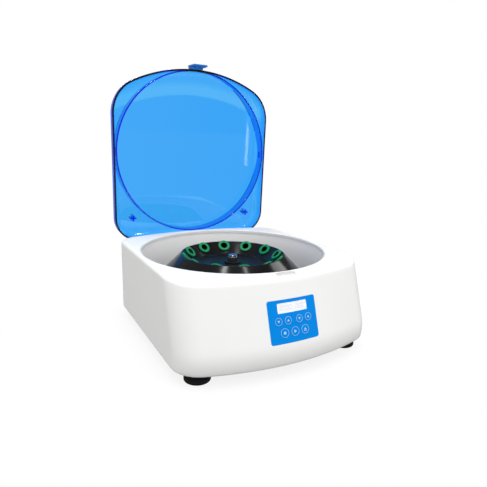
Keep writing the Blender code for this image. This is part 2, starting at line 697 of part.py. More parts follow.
def sleeve_frame(index, seat_z):
    """Frame of a sleeve: Z out of its mouth, square to the dish, origin on the dish wall."""
    around = SLEEVE_FIRST_ANGLE + 2 * math.pi * index / SLEEVE_COUNT
    tilt = Matrix.Rotation(-math.pi / 4, 4, 'Y')
    seat = Matrix.Translation((SLEEVE_SEAT_RADIUS, 0, seat_z))
    return Matrix.Rotation(around, 4, 'Z') @ seat @ tilt


def lid_loop(height, inset):
    """Closed lid's outline at a height above its edge, drawn in by an inset. Its front slopes down."""
    outline = plan(LID_HALF_WIDTH, LID_FRONT_Y, LID_FRONT_BOW, LID_FRONT_CORNER,
                   LID_REAR_Y, LID_REAR_BOW, LID_REAR_CORNER)
    draw = inset + edge_inset(LID_EDGE - inset, LID_DEPTH - inset - height)
    points = []
    for x, y, nx, ny in outline:
        px, py = x - nx * draw, y - ny * draw
        slope = max(0.0, (LID_FRONT_Y + LID_CREASE - py) / LID_CREASE)
        points.append((px, py, LID_EDGE_Z - inset + (height + inset) * (1 - LID_FRONT_DROP * slope)))
    return points


def lid_solid(name, inset, bottom=0.0):
    heights = [bottom] + rounding_levels(LID_DEPTH - inset, LID_EDGE - inset, LID_EDGE_STEPS)
    return loft(name, [lid_loop(h, inset) for h in heights], mirrored_caps=True)


def make_lid():
    """Tray-shaped lid with a ring over the bowl's mouth and two cross-shaped studs, and its hook."""
    shell = lid_solid("lid_shell", 0.0)
    cut(shell, lid_solid("lid_hollow", LID_WALL, -LID_WALL))
    ring_out = BOWL_RADIUS - LID_RING_INSET
    ring = tube("ring", ring_out, ring_out - LID_RING_WALL, LID_EDGE_Z, LID_EDGE_Z + LID_DEPTH, steps=60)
    combine(ring, lid_solid("ring_limit", LID_WALL / 2, -LID_WALL), 'INTERSECT')
    join(shell, ring)
    low = LID_EDGE_Z + LID_DEPTH - LID_WALL - STUD_HEIGHT
    high = LID_EDGE_Z + LID_DEPTH - LID_WALL / 2
    for x in (-STUD_X, STUD_X):
        stud = box("stud", (x - STUD_SPAN / 2, STUD_Y - STUD_RIB / 2, low),
                   (x + STUD_SPAN / 2, STUD_Y + STUD_RIB / 2, high))
        join(stud, box("rib", (x - STUD_RIB / 2, STUD_Y - STUD_SPAN / 2, low),
                       (x + STUD_RIB / 2, STUD_Y + STUD_SPAN / 2, high)))
        join(shell, stud)
    front, back = LATCH_Y - HOOK_THICKNESS / 2, LATCH_Y + HOOK_THICKNESS / 2
    half = HOOK_WIDTH / 2
    hook = box("lid_hook", (-half, front, LID_EDGE_Z - HOOK_REACH), (half, back, LID_EDGE_Z + HOOK_RISE))
    join(hook, box("root", (-half, front, LID_EDGE_Z), (half, LID_FRONT_Y - FIT, LID_EDGE_Z + HOOK_RISE)))
    notch = BOLT_HEIGHT / 2 + RUNNING
    cut(hook, box("notch", (half - NOTCH_DEPTH, front - FIT, BOLT_Z - notch),
                  (half + FIT, back + FIT, BOLT_Z + notch)))
    return [shell, hook]


def make_hinge(side, sign):
    """Arm on the lid, bracket on the back wall and the pin through both, on one side."""
    arm_in = HINGE_X
    arm_out = arm_in + KNUCKLE_WIDTH
    bracket_out = arm_out + FIT + KNUCKLE_WIDTH
    axis = (HINGE_Y, HINGE_Z)
    sag = end_depth(arm_out, LID_HALF_WIDTH - LID_WALL, LID_REAR_BOW - LID_WALL, LID_REAR_CORNER - LID_WALL)
    arm_back = LID_REAR_Y - LID_WALL - sag - 2 * FIT
    arm = rod(f"hinge_arm_{side}", KNUCKLE_RADIUS, (sign * arm_in, *axis), (sign * arm_out, *axis))
    left, right = sorted((sign * arm_in, sign * arm_out))
    join(arm, box("bar", (left, arm_back - ARM_THICKNESS, HINGE_Z), (right, arm_back, HINGE_Z + ARM_HEIGHT)))
    bracket_in = arm_out + FIT
    bracket = rod(f"hinge_bracket_{side}", KNUCKLE_RADIUS, (sign * bracket_in, *axis),
                  (sign * bracket_out, *axis))
    left, right = sorted((sign * bracket_in, sign * bracket_out))
    join(bracket, box("block", (left, BOWL_RADIUS - WALL, HINGE_Z - BRACKET_HEIGHT),
                      (right, HINGE_Y + BRACKET_BACK, HINGE_Z)))
    cut(bracket, housing_solid("wall", -FIT))
    for piece in (arm, bracket):
        cut(piece, rod("pin_hole", PIN_RADIUS + FIT, (0, *axis), (sign * (bracket_out + FIT), *axis)))
    pin = rod(f"hinge_pin_{side}", PIN_RADIUS, (sign * arm_in, *axis), (sign * bracket_out, *axis), sides=16)
    return arm, [bracket, pin]


def make_lock():
    """Solenoid bolt on one side of the latch slot and the lid switch on the other."""
    start = HOOK_WIDTH / 2 + SLOT_SIDE_GAP + FIT
    front, back = LATCH_Y - LOCK_FRONT, LATCH_Y + LOCK_BACK
    low = LOCK_TOP - LOCK_HEIGHT
    ceiling = DECK - WALL - FIT

    def carrier(name, x0, x1):
        """Block hung from the deck by a tab that clears the rounded top edge of the front wall."""
        body = box(name, (x0, front, low), (x1, back, LOCK_TOP))
        bow = end_depth(max(abs(x0), abs(x1)), HALF_WIDTH, FRONT_BOW, FRONT_CORNER)
        tab_front = front_face(ceiling) + bow + WALL + edge_inset(TOP_EDGE - WALL, FIT) + FIT
        join(body, box("tab", (x0, tab_front, LOCK_TOP - LOCK_OVERLAP), (x1, back, ceiling)))
        return body

    frame_end = start + LOCK_FRAME_WIDTH
    frame = carrier("lock_frame", start, frame_end)
    tall, thick = BOLT_HEIGHT / 2, BOLT_THICKNESS / 2
    cut(frame, box("bolt_way", (start - FIT, LATCH_Y - thick - FIT, BOLT_Z - tall - FIT),
                   (frame_end + FIT, LATCH_Y + thick + FIT, BOLT_Z + tall + FIT)))
    bolt = box("lock_bolt", (start, LATCH_Y - thick, BOLT_Z - tall),
               (frame_end, LATCH_Y + thick, BOLT_Z + tall))
    join(bolt, rod("plunger", PLUNGER_RADIUS, (frame_end - FIT, LATCH_Y, BOLT_Z),
                   (frame_end + PLUNGER_LENGTH, LATCH_Y, BOLT_Z), sides=16))
    coil_start = frame_end + FIT
    coil_front = LATCH_Y - LOCK_FRONT + COIL_INSET
    coil = box("lock_solenoid", (coil_start, coil_front, low), (coil_start + SOLENOID_LENGTH, back, LOCK_TOP))
    cut(coil, rod("plunger_way", PLUNGER_RADIUS + FIT, (coil_start - FIT, LATCH_Y, BOLT_Z),
                  (frame_end + PLUNGER_LENGTH + FIT, LATCH_Y, BOLT_Z), sides=16))
    switch = carrier("lid_switch", -start - SWITCH_BODY_WIDTH, -start)
    set_origin(bolt, (start, LATCH_Y, BOLT_Z))
    return [frame, bolt, coil, switch]


def entries():
    """Place and body size of what passes through the back wall: X, width and height."""
    corner = math.hypot(ROCKER_HEIGHT / 2, ROCKER_THICKNESS / 2)
    return [(INLET_X, INLET_WIDTH, INLET_HEIGHT),
            (ROCKER_X, ROCKER_WIDTH + 2 * (FIT + SWITCH_WALL), 2 * (corner + FIT + SWITCH_WALL))]


def entry_block(name, x, width, height, back_y):
    return box(name, (x - width / 2, REAR_Y - ENTRY_DEPTH, ENTRY_Z - height / 2),
               (x + width / 2, back_y, ENTRY_Z + height / 2))


def entry_body(name, x, width, height):
    """Body through the back wall with a lip that sits on the wall's curve."""
    lip = entry_block(name, x, width + 2 * ENTRY_LIP, height + 2 * ENTRY_LIP, REAR_Y + ENTRY_PROUD)
    cut(lip, housing_solid("wall", -FIT))
    join(lip, entry_block("body", x, width, height, REAR_Y + ENTRY_PROUD / 2))
    return lip


def make_power_entry():
    """Three-pin inlet, rocker switch and the board that they feed."""
    back_y = REAR_Y + ENTRY_PROUD
    (x, width, height), (rocker_x, frame_width, frame_height) = entries()
    inlet = entry_body("power_inlet", x, width, height)
    half_w, half_h = INLET_SOCKET_WIDTH / 2, INLET_SOCKET_HEIGHT / 2
    floor_y = back_y - INLET_SOCKET_DEPTH
    cut(inlet, box("socket", (x - half_w, floor_y, ENTRY_Z - half_h),
                   (x + half_w, back_y + FIT, ENTRY_Z + half_h)))
    for step in (-1, 0, 1):
        px = x + step * INLET_PIN_PITCH
        pz = ENTRY_Z + (INLET_PIN if step == 0 else -INLET_PIN / 2)
        half = INLET_PIN / 2
        join(inlet, box("pin", (px - half, floor_y - INLET_PIN, pz - half),
                        (px + half, back_y - INLET_PIN, pz + half)))
    frame = entry_body("switch_frame", rocker_x, frame_width, frame_height)
    inner_w, inner_h = frame_width / 2 - SWITCH_WALL, frame_height / 2 - SWITCH_WALL
    cut(frame, box("well", (rocker_x - inner_w, back_y - SWITCH_DEPTH, ENTRY_Z - inner_h),
                   (rocker_x + inner_w, back_y + FIT, ENTRY_Z + inner_h)))
    half_t = ROCKER_THICKNESS / 2
    rocker = box("power_rocker", (-ROCKER_WIDTH / 2, -half_t, -ROCKER_HEIGHT / 2),
                 (ROCKER_WIDTH / 2, half_t, ROCKER_HEIGHT / 2))
    rocker.location = (rocker_x, back_y - half_t, ENTRY_Z)
    rocker.rotation_euler.x = -ROCKER_TILT
    low = TRAY_TOP + FIT
    board = box("power_board", (BOARD_X - BOARD_WIDTH / 2, BOARD_Y - BOARD_LENGTH / 2, low),
                (BOARD_X + BOARD_WIDTH / 2, BOARD_Y + BOARD_LENGTH / 2, low + BOARD_THICKNESS))
    return [inlet, frame, rocker, board]


def set_origin(piece, point):
    """Move a piece's origin to a point and leave its shape where it is."""
    point = Vector(point)
    piece.data.transform(Matrix.Translation(-point))
    piece.location = point
    return piece


def add_pivot(name, place):
    pivot = bpy.data.objects.new(name, None)
    pivot.location = place
    PIECES.objects.link(pivot)
    return pivot


FINISHES = {
    "housing_shell": ((0.86, 0.87, 0.88), 0.28, 0.0),
    "base_tray": ((0.55, 0.56, 0.58), 0.5, 0.0),
    "foot": ((0.015, 0.015, 0.016), 0.7, 0.0),
    "damper": ((0.02, 0.02, 0.02), 0.75, 0.0),
    "shaft_boot": ((0.05, 0.05, 0.05), 0.7, 0.0),
    "bowl_seal": ((0.62, 0.63, 0.64), 0.6, 0.0),
    "bowl": ((0.66, 0.67, 0.68), 0.35, 0.0),
    "motor_stator": ((0.45, 0.2, 0.08), 0.4, 0.8),
    "motor_magnet": ((0.12, 0.12, 0.13), 0.4, 0.8),
    "motor": ((0.5, 0.5, 0.52), 0.35, 1.0),
    "drive_shaft": ((0.6, 0.6, 0.62), 0.25, 1.0),
    "rotor_nut": ((0.7, 0.7, 0.72), 0.2, 1.0),
    "rotor_body": ((0.012, 0.012, 0.014), 0.2, 0.0),
    "tube_sleeve": ((0.01, 0.35, 0.16), 0.35, 0.0),
    "panel_overlay": ((0.0, 0.28, 0.82), 0.35, 0.0),
    "key": ((0.01, 0.30, 0.84), 0.4, 0.0),
    "display_window": ((0.85, 0.88, 0.92), 0.1, 0.0),
    "display_module": ((0.6, 0.65, 0.7), 0.4, 0.0),
    "control_board": ((0.02, 0.16, 0.06), 0.5, 0.0),
    "power_board": ((0.02, 0.16, 0.06), 0.5, 0.0),
    "lid_hook": ((0.01, 0.04, 0.3), 0.3, 0.0),
    "lid_switch": ((0.02, 0.02, 0.02), 0.4, 0.0),
    "lid_shell": ((0.03, 0.35, 0.95), 0.08, 0.0),
    "hinge": ((0.55, 0.55, 0.57), 0.35, 1.0),
    "lock": ((0.55, 0.55, 0.57), 0.35, 1.0),
    "power": ((0.02, 0.02, 0.02), 0.4, 0.0),
    "switch_frame": ((0.02, 0.02, 0.02), 0.4, 0.0),
}


def finish(piece):
    """Own material from the longest matching name, and smooth shading between sharp edges."""
    match = max((key for key in FINISHES if piece.name.startswith(key)), key=len)
    colour, roughness, metallic = FINISHES[match]
    material = bpy.data.materials.new(piece.name)
    material.use_nodes = True
    shader = material.node_tree.nodes["Principled BSDF"]
    shader.inputs["Base Color"].default_value = (*colour, 1.0)
    shader.inputs["Roughness"].default_value = roughness
    shader.inputs["Metallic"].default_value = metallic
    if match == "lid_shell":
        shader.inputs["Transmission Weight"].default_value = 0.8
    piece.data.materials.clear()
    piece.data.materials.append(material)
    piece.data.shade_smooth()
    piece.data.set_sharp_from_angle(angle=math.radians(35))


def centre_on_floor(assembly):
    """Put the middle of the whole object's footprint on the Z axis."""
    bpy.context.view_layer.update()
    ys = [(piece.matrix_world @ vertex.co).y
          for piece in PIECES.objects if piece.type == 'MESH' for vertex in piece.data.vertices]
    assembly.location.y = -(min(ys) + max(ys)) / 2
    bpy.context.view_layer.update()


def build():
    assembly = add_pivot("assembly", (0, 0, 0))
    rotor_axis = add_pivot("rotor_axis", (0, 0, HUB_TOP))
    lid_axis = add_pivot("lid_axis", (0, HINGE_Y, HINGE_Z))
    fixed = make_housing_shell() + make_panel() + make_front_electronics() + make_base()
    fixed += make_motor_mount() + make_motor() + make_bowl() + make_lock() + make_power_entry()
    lid = make_lid()
    for side, sign in (("left", -1), ("right", 1)):
        arm, brackets = make_hinge(side, sign)
        lid.append(arm)
        fixed += brackets
    for piece in fixed:
        piece.parent = assembly
    for pivot, pieces in ((rotor_axis, make_rotor()), (lid_axis, lid)):
        pivot.parent = assembly
        for piece in pieces:
            piece.data.transform(Matrix.Translation(-pivot.location))
            piece.parent = pivot
    lid_axis.rotation_euler.x = -LID_OPEN_ANGLE
    for piece in PIECES.objects:
        if piece.type == 'MESH':
            finish(piece)
    centre_on_floor(assembly)


build()
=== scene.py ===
import json
import math

import bmesh
import bpy
import numpy as np
from mathutils import Matrix, Vector


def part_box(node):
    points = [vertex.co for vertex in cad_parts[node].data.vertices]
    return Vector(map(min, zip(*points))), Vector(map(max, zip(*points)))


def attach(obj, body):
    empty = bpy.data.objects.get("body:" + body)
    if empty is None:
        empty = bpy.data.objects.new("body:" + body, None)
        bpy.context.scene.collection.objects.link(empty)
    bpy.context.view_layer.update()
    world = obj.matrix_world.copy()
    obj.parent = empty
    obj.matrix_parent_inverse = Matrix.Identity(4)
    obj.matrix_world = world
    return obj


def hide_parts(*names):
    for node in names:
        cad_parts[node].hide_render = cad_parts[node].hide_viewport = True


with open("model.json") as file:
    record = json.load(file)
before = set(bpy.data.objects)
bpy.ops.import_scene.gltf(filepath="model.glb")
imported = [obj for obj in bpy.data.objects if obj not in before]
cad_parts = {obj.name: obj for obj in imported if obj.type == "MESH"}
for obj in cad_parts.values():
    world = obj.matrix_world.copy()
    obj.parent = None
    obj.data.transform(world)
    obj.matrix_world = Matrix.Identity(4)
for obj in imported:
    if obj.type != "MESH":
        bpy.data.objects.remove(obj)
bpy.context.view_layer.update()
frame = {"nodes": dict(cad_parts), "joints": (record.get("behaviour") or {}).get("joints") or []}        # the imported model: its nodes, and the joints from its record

nodes = frame["nodes"]
MM = 0.001


# Base tray: the floor of the machine, injection moulded in grey ABS with four posts under the bowl.
# It closes the housing from below and carries the feet, the motor and the supply board.
def linear(code):
    """Linear RGBA of an sRGB hex colour: the standard curve, with its straight foot near black."""
    srgb = np.array([int(code[i:i + 2], 16) for i in (0, 2, 4)]) / 255
    curve = np.where(srgb <= 0.04045, srgb / 12.92, ((srgb + 0.055) / 1.055) ** 2.4)
    return (*curve, 1.0)


def add_node(tree, kind, inputs, **settings):
    """Add one node with its settings, and set or link its inputs by name or number."""
    node = tree.nodes.new(kind)
    for name, value in settings.items():
        setattr(node, name, value)
    for name, value in inputs.items():
        if isinstance(value, bpy.types.NodeSocket):
            tree.links.new(value, node.inputs[name])
        else:
            node.inputs[name].default_value = value
    return node


def new_finish(name, **sockets):
    """Material with its constants on the shader's own sockets. Returns it with its tree and shader."""
    finish = bpy.data.materials.new(name)
    finish.use_nodes = True
    shader = finish.node_tree.nodes["Principled BSDF"]
    for socket, value in sockets.items():
        shader.inputs[socket.replace("_", " ")].default_value = value
    return finish, finish.node_tree, shader


def grain(tree, shader, width, depth, gloss, cloud):
    """Skin of a part: bumps of a width and depth in mm, and clouds of a width in mm that shift roughness
    between two values. Most of the noise lies between 0.3 and 0.7. Returns the clouds."""
    place = add_node(tree, "ShaderNodeTexCoord", {}).outputs["Object"]
    bumps = add_node(tree, "ShaderNodeTexNoise", {"Vector": place, "Scale": 1000 / width, "Detail": 2.0})
    relief = add_node(tree, "ShaderNodeBump", {"Height": bumps.outputs["Fac"], "Distance": depth * MM})
    tree.links.new(relief.outputs["Normal"], shader.inputs["Normal"])
    clouds = add_node(tree, "ShaderNodeTexNoise", {"Vector": place, "Scale": 1000 / cloud, "Detail": 3.0})
    sheen = add_node(tree, "ShaderNodeMapRange",
                     {"Value": clouds.outputs["Fac"], "From Min": 0.3, "From Max": 0.7,
                      "To Min": gloss[0], "To Max": gloss[1]})
    tree.links.new(sheen.outputs["Result"], shader.inputs["Roughness"])
    return clouds.outputs["Fac"]


def two_tone(tree, shader, amount, first, second):
    """Base colour that drifts between two hex colours as an amount runs from 0 to 1."""
    ramp = add_node(tree, "ShaderNodeValToRGB", {"Fac": amount})
    ramp.color_ramp.elements[0].color = linear(first)
    ramp.color_ramp.elements[1].color = linear(second)
    tree.links.new(ramp.outputs["Color"], shader.inputs["Base Color"])


def graded_finish(name, skin, colour, second=None, **sockets):
    """Material with the grain of a skin (width, depth, gloss, cloud), in one hex colour or in one that drifts
    to a second with the clouds."""
    finish, tree, shader = new_finish(name, Base_Color=linear(colour), **sockets)
    clouds = grain(tree, shader, *skin)
    if second:
        two_tone(tree, shader, clouds, colour, second)
    return finish


def coat(finish, *names):
    """Give CAD nodes their finish."""
    for name in names:
        nodes[name].data.materials.clear()
        nodes[name].data.materials.append(finish)


# Spark-eroded tool faces leave a fine even grain on ABS, so that it looks satin.
tray_abs = graded_finish("abs_moulded_grey", (0.5, 0.02, (0.45, 0.58), 40), "86888C", "929498")
coat(tray_abs, "base_tray")


# Feet: four turned pads of black moulded rubber with a rolled sole and a sunk seat for the screw that
# holds each to the tray. Rubber looks matt, with a pale bloom.
STRAIGHT = math.radians(89.5)


def rounded(corners, steps=8):
    """Profile through (across, height, radius) corners: each radius is an arc tangent to both its sides. A
    corner whose half angle is past STRAIGHT stays a plain point."""
    points = [np.array([corners[0][:2]])]
    for before, corner, after in zip(corners, corners[1:], corners[2:]):
        here = np.array(corner[:2])
        back, ahead = np.array(before[:2]) - here, np.array(after[:2]) - here
        back, ahead = back / np.linalg.norm(back), ahead / np.linalg.norm(ahead)
        half = math.acos(np.clip(back @ ahead, -1, 1)) / 2
        if corner[2] == 0 or half > STRAIGHT:
            points.append(here[None])
            continue
        middle = (back + ahead) / np.linalg.norm(back + ahead)
        centre = here + middle * corner[2] / math.sin(half)
        start = here + back * corner[2] / math.tan(half) - centre
        end = here + ahead * corner[2] / math.tan(half) - centre
        sweep = math.pi - 2 * half
        t = np.linspace(0, 1, steps + 1)[:, None]
        points.append(centre + (np.sin((1 - t) * sweep) * start + np.sin(t * sweep) * end) / math.sin(sweep))
    points.append(np.array([corners[-1][:2]]))
    return np.vstack(points)


SAME_POINT = 1e-7
SHARP = math.radians(40)


def surface(name, *patches):
    """Mesh over closed loops of points, an array (loops, points, 3) for each patch. Quads join each loop to
    the next, and a patch given with True also joins its last loop to its first. Poles are merged."""
    mesh = bpy.data.meshes.new(name)
    points, quads, start = [], [], 0
    for patch in patches:
        loops, ring = patch if isinstance(patch, tuple) else (patch, False)
        index = start + np.arange(loops.shape[0] * loops.shape[1]).reshape(loops.shape[:2])
        index = np.concatenate([index, index[:, :1]], axis=1)
        if ring:
            index = np.concatenate([index, index[:1]], axis=0)
        corners = [index[:-1, :-1], index[:-1, 1:], index[1:, 1:], index[1:, :-1]]
        quads.append(np.stack(corners, -1).reshape(-1, 4))
        points.append(loops.reshape(-1, 3))
        start += len(points[-1])
    points, quads = np.vstack(points), np.vstack(quads)
    mesh.vertices.add(len(points))
    mesh.vertices.foreach_set("co", points.ravel())
    mesh.loops.add(quads.size)
    mesh.loops.foreach_set("vertex_index", quads.ravel())
    mesh.polygons.add(len(quads))
    mesh.polygons.foreach_set("loop_start", np.arange(0, quads.size, 4))
    mesh.update(calc_edges=True)
    shape = bmesh.new()
    shape.from_mesh(mesh)
    bmesh.ops.remove_doubles(shape, verts=shape.verts, dist=SAME_POINT)
    bmesh.ops.recalc_face_normals(shape, faces=shape.faces)
    shape.to_mesh(mesh)
    shape.free()
    mesh.shade_smooth()
    mesh.set_sharp_from_angle(angle=SHARP)
    piece = bpy.data.objects.new(name, mesh)
    bpy.context.scene.collection.objects.link(piece)
    return piece


def circle(steps):
    """Angles of a full turn in even steps, without the end, which is the start again."""
    return np.linspace(0, 2 * math.pi, steps, endpoint=False)


def turned(profile, steps, centre=(0.0, 0.0)):
    """Loops of a profile of (radius, height) points turned about a vertical axis: radius times (cos, sin)."""
    around = circle(steps)
    radius, height = profile[:, :1], profile[:, 1:]
    return np.stack([centre[0] + radius * np.cos(around), centre[1] + radius * np.sin(around),
                     height + 0 * around], axis=-1)


def fit(piece, body, finish, *replaced):
    """Give a piece its finish, let it ride on a body and hide the CAD nodes it stands for."""
    piece.data.materials.clear()
    piece.data.materials.append(finish)
    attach(piece, body)
    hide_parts(*replaced)
    return piece


foot_rubber = graded_finish("rubber_moulded_black", (0.35, 0.03, (0.62, 0.82), 9), "070708", "0F0F10",
                            Specular_IOR_Level=0.35)
FOOT_NECK = 13.5 * MM
FOOT_NECK_HEIGHT = 3.8 * MM
FOOT_NECK_FILLET = 1.2 * MM
FOOT_SHOULDER = 8.4 * MM
FOOT_SHOULDER_ROUND = 2 * MM
FOOT_SOLE_ROUND = 2.2 * MM
FOOT_EDGE = 0.6 * MM
FOOT_STEPS = 64
SCREW_SEAT_RADIUS = 5 * MM
SCREW_SEAT_DEPTH = 5 * MM
for place in ("front_left", "front_right", "rear_left", "rear_right"):
    low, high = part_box(f"foot_{place}")
    radius, top = (high.x - low.x) / 2, high.z
    foot = rounded([
        (0, top, 0), (FOOT_NECK, top, FOOT_EDGE), (FOOT_NECK, top - FOOT_NECK_HEIGHT, FOOT_NECK_FILLET),
        (radius, top - FOOT_SHOULDER, FOOT_SHOULDER_ROUND), (radius, 0, FOOT_SOLE_ROUND),
        (SCREW_SEAT_RADIUS, 0, FOOT_EDGE), (SCREW_SEAT_RADIUS, SCREW_SEAT_DEPTH, FOOT_EDGE),
        (0, SCREW_SEAT_DEPTH, 0)])
    centre = ((low.x + high.x) / 2, (low.y + high.y) / 2)
    pad = surface(f"rubber_foot_{place}", turned(foot, FOOT_STEPS, centre))
    fit(pad, "housing", foot_rubber, f"foot_{place}")


# Drive motor and its mount: a die-cast can on a steel plate that floats on three rubber dampers, with a
# copper-wound stator, a magnet ring and two ball bearings. All of it stays inside the closed machine.
# Rubber is dead matt, the casting a dull grey, the enamelled winding dark and glossy, turned steel bright.
mount_rubber = graded_finish("rubber_moulded_dark", (0.4, 0.03, (0.65, 0.85), 8), "141415")
coat(mount_rubber, "damper_1", "damper_2", "damper_3")
cast_aluminium = graded_finish("aluminium_die_cast", (0.6, 0.03, (0.36, 0.5), 12), "A9ABAF", Metallic=1.0)
coat(cast_aluminium, "motor_can", "motor_plate")
copper = graded_finish("copper_enamelled_winding", (0.8, 0.12, (0.28, 0.42), 10), "9A5528", Metallic=0.9)
coat(copper, "motor_stator")
turned_steel = graded_finish("steel_turned", (0.3, 0.004, (0.24, 0.36), 15), "B4B6BA", Metallic=1.0)
coat(turned_steel, "motor_bearing_lower", "motor_bearing_upper", "motor_magnet", "drive_shaft")


# Bowl: a spun steel pan with a coved floor, powder coated white. It hangs in the housing's mouth and
# a soft silicone strip lines its edge. A rubber boot seals the shaft at the middle of the floor.
bowl_low, bowl_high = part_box("bowl")
AXIS_Y = (bowl_low.y + bowl_high.y) / 2
AXIS = (0.0, AXIS_Y)
BOWL_WALL = 1.2 * MM
BOWL_COVE = 14 * MM
BOWL_HOLE = 18 * MM
BOWL_LIP = 0.4 * MM
BOWL_STEPS = 192
bowl_outside = bowl_high.x
bowl_inside = bowl_outside - BOWL_WALL
bowl_floor = bowl_low.z + BOWL_WALL
bowl_section = rounded([
    (BOWL_HOLE, bowl_floor, 0), (bowl_inside, bowl_floor, BOWL_COVE), (bowl_inside, bowl_high.z, BOWL_LIP),
    (bowl_outside, bowl_high.z, BOWL_LIP), (bowl_outside, bowl_low.z, BOWL_COVE + BOWL_WALL),
    (BOWL_HOLE, bowl_low.z, 0)], steps=14)
# Powder coat melts to a smooth, slightly wavy skin: an even white with soft highlights.
powder_coat = graded_finish("powder_coat_white", (1.2, 0.02, (0.32, 0.44), 60), "F3F3F3", "F8F8F8")
fit(surface("spun_bowl", (turned(bowl_section, BOWL_STEPS, AXIS), True)), "housing", powder_coat, "bowl")

seal_low, seal_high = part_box("bowl_seal")
SEAL_WALL = 1.2 * MM
SEAL_INNER_ROUND = 0.55 * MM
SEAL_OUTER_ROUND = 0.3 * MM
seal_out = seal_high.x
seal_in = seal_out - SEAL_WALL
seal_section = rounded([
    (seal_in, seal_low.z, 0), (seal_in, seal_high.z, SEAL_INNER_ROUND),
    (seal_out, seal_high.z, SEAL_OUTER_ROUND), (seal_out, seal_low.z, 0)], steps=6)
# Silicone is pale and has a soft sheen without a sharp highlight.
silicone = graded_finish("silicone_extruded_pale", (0.6, 0.01, (0.5, 0.62), 20), "DADBDC")
fit(surface("mouth_strip", (turned(seal_section, BOWL_STEPS, AXIS), True)), "housing", silicone, "bowl_seal")
coat(mount_rubber, "shaft_boot")


# Housing: the white body, injection moulded in ABS. Its plan has straight sides, a bowed front and a
# bowed back, the front slopes out and tucks under near the floor, and the top is cut out for the bowl.
def end_curve(half_width, bow, corner, count):
    """Bowed end of a plan: an arc of the bow's radius from the middle, then a corner arc tangent to it and
    to the side. Returns distance across, depth behind the middle, and the normal's two parts."""
    reach = half_width - corner
    turn = math.asin(reach / (bow - corner))
    middle = np.linspace(0, turn, count, endpoint=False)
    bend = np.linspace(turn, math.pi / 2, count)
    corner_depth = bow - math.sqrt((bow - corner) ** 2 - reach ** 2)
    across = np.concatenate([bow * np.sin(middle), reach + corner * np.sin(bend)])
    depth = np.concatenate([bow * (1 - np.cos(middle)), corner_depth - corner * np.cos(bend)])
    angle = np.concatenate([middle, bend])
    return across, depth, np.sin(angle), np.cos(angle)


def plan(half_width, front_bow, front_corner, rear_bow, rear_corner, count=40, side=24):
    """Closed plan from the front's middle, anticlockwise. Returns x, the share of the front's place, the
    shift from that place, and the outward normal. Y is share * front + (1 - share) * rear + shift."""
    fx, front_depth, front_nx, front_ny = end_curve(half_width, front_bow, front_corner, count)
    rx, rear_depth, rear_nx, rear_ny = end_curve(half_width, rear_bow, rear_corner, count)
    along = np.linspace(1, 0, side + 2)[1:-1]
    half = [
        (np.concatenate([fx, np.full(side, half_width), rx[::-1]]), -1),
        (np.concatenate([np.ones_like(fx), along, np.zeros_like(rx)]), 1),
        (np.concatenate([front_depth, along * front_depth[-1] - (1 - along) * rear_depth[-1],
                         -rear_depth[::-1]]), 1),
        (np.concatenate([front_nx, np.ones(side), rear_nx[::-1]]), -1),
        (np.concatenate([-front_ny, np.zeros(side), rear_ny[::-1]]), 1)]
    return [np.concatenate([values, sign * values[-2:0:-1]]) for values, sign in half]


def carve(piece, cutter, operation='DIFFERENCE'):
    """Boolean of a piece with a closed cutter, which is used up."""
    step = piece.modifiers.new("carve", 'BOOLEAN')
    step.operation = operation
    step.object = cutter
    graph = bpy.context.evaluated_depsgraph_get()
    mesh = bpy.data.meshes.new_from_object(piece.evaluated_get(graph))
    piece.modifiers.clear()
    piece.data = mesh
    mesh.set_sharp_from_angle(angle=SHARP)
    bpy.data.objects.remove(cutter)


def block(name, low, high):
    """Closed block between two corners, as four loops: a pole, two square rims and a pole."""
    low, high = np.array(low), np.array(high)
    middle = (low + high) / 2
    rim = np.array([[0, 0], [1, 0], [1, 1], [0, 1]]) * (high - low)[:2] + low[:2]
    centre = np.repeat(middle[None, :2], 4, axis=0)
    loops = [(centre, low[2]), (rim, low[2]), (rim, high[2]), (centre, high[2])]
    return surface(name, np.stack([np.column_stack([xy, np.full(4, z)]) for xy, z in loops]))


shell_low, shell_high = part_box("housing_shell")
BOTTOM, DECK = shell_low.z, shell_high.z
HALF_WIDTH = shell_high.x
REAR = shell_high.y - AXIS_Y
FRONT = -151 * MM
FRONT_TILT = math.radians(18)
FRONT_BOW = 395 * MM
FRONT_CORNER = 40 * MM
REAR_BOW = 400 * MM
REAR_CORNER = 37 * MM
FRONT_KNEE = 30 * MM
FRONT_TUCK = 9.5 * MM
WALL = 3 * MM
TOP_EDGE = 10 * MM
SIDE_EDGE = 5 * MM
BOTTOM_EDGE = 3 * MM
MOUTH_GAP = 0.3 * MM
MOUTH = seal_out + MOUTH_GAP
MOUTH_LIP = 0.6 * MM
plan_x, plan_share, plan_shift, plan_nx, plan_ny = plan(
    HALF_WIDTH, FRONT_BOW, FRONT_CORNER, REAR_BOW, REAR_CORNER)


def front_face(z):
    """Y of the front's middle: a straight slope, plus a parabola that tucks it under below the knee."""
    below = np.maximum(0, BOTTOM + FRONT_KNEE - z)
    return FRONT - (DECK - z) * math.tan(FRONT_TILT) + FRONT_TUCK * (below / FRONT_KNEE) ** 2


def housing_skin(z, draw):
    """Loops of the housing's plan at heights z, drawn in along the plan's normals."""
    y = plan_share * front_face(z) + (1 - plan_share) * REAR + plan_shift
    return np.stack([plan_x - plan_nx * draw + 0 * z, AXIS_Y + y - plan_ny * draw, z + 0 * plan_x], axis=-1)


def mouth_loop(angle, radius, z):
    """Loop of the round mouth at a radius and height, at the plan's own angles."""
    return np.stack([radius * np.cos(angle), AXIS_Y + radius * np.sin(angle), z + 0 * angle], axis=-1)


def quarter_bend(count):
    """Angles over a quarter turn, as a column."""
    return np.linspace(0, math.pi / 2, count)[:, None]


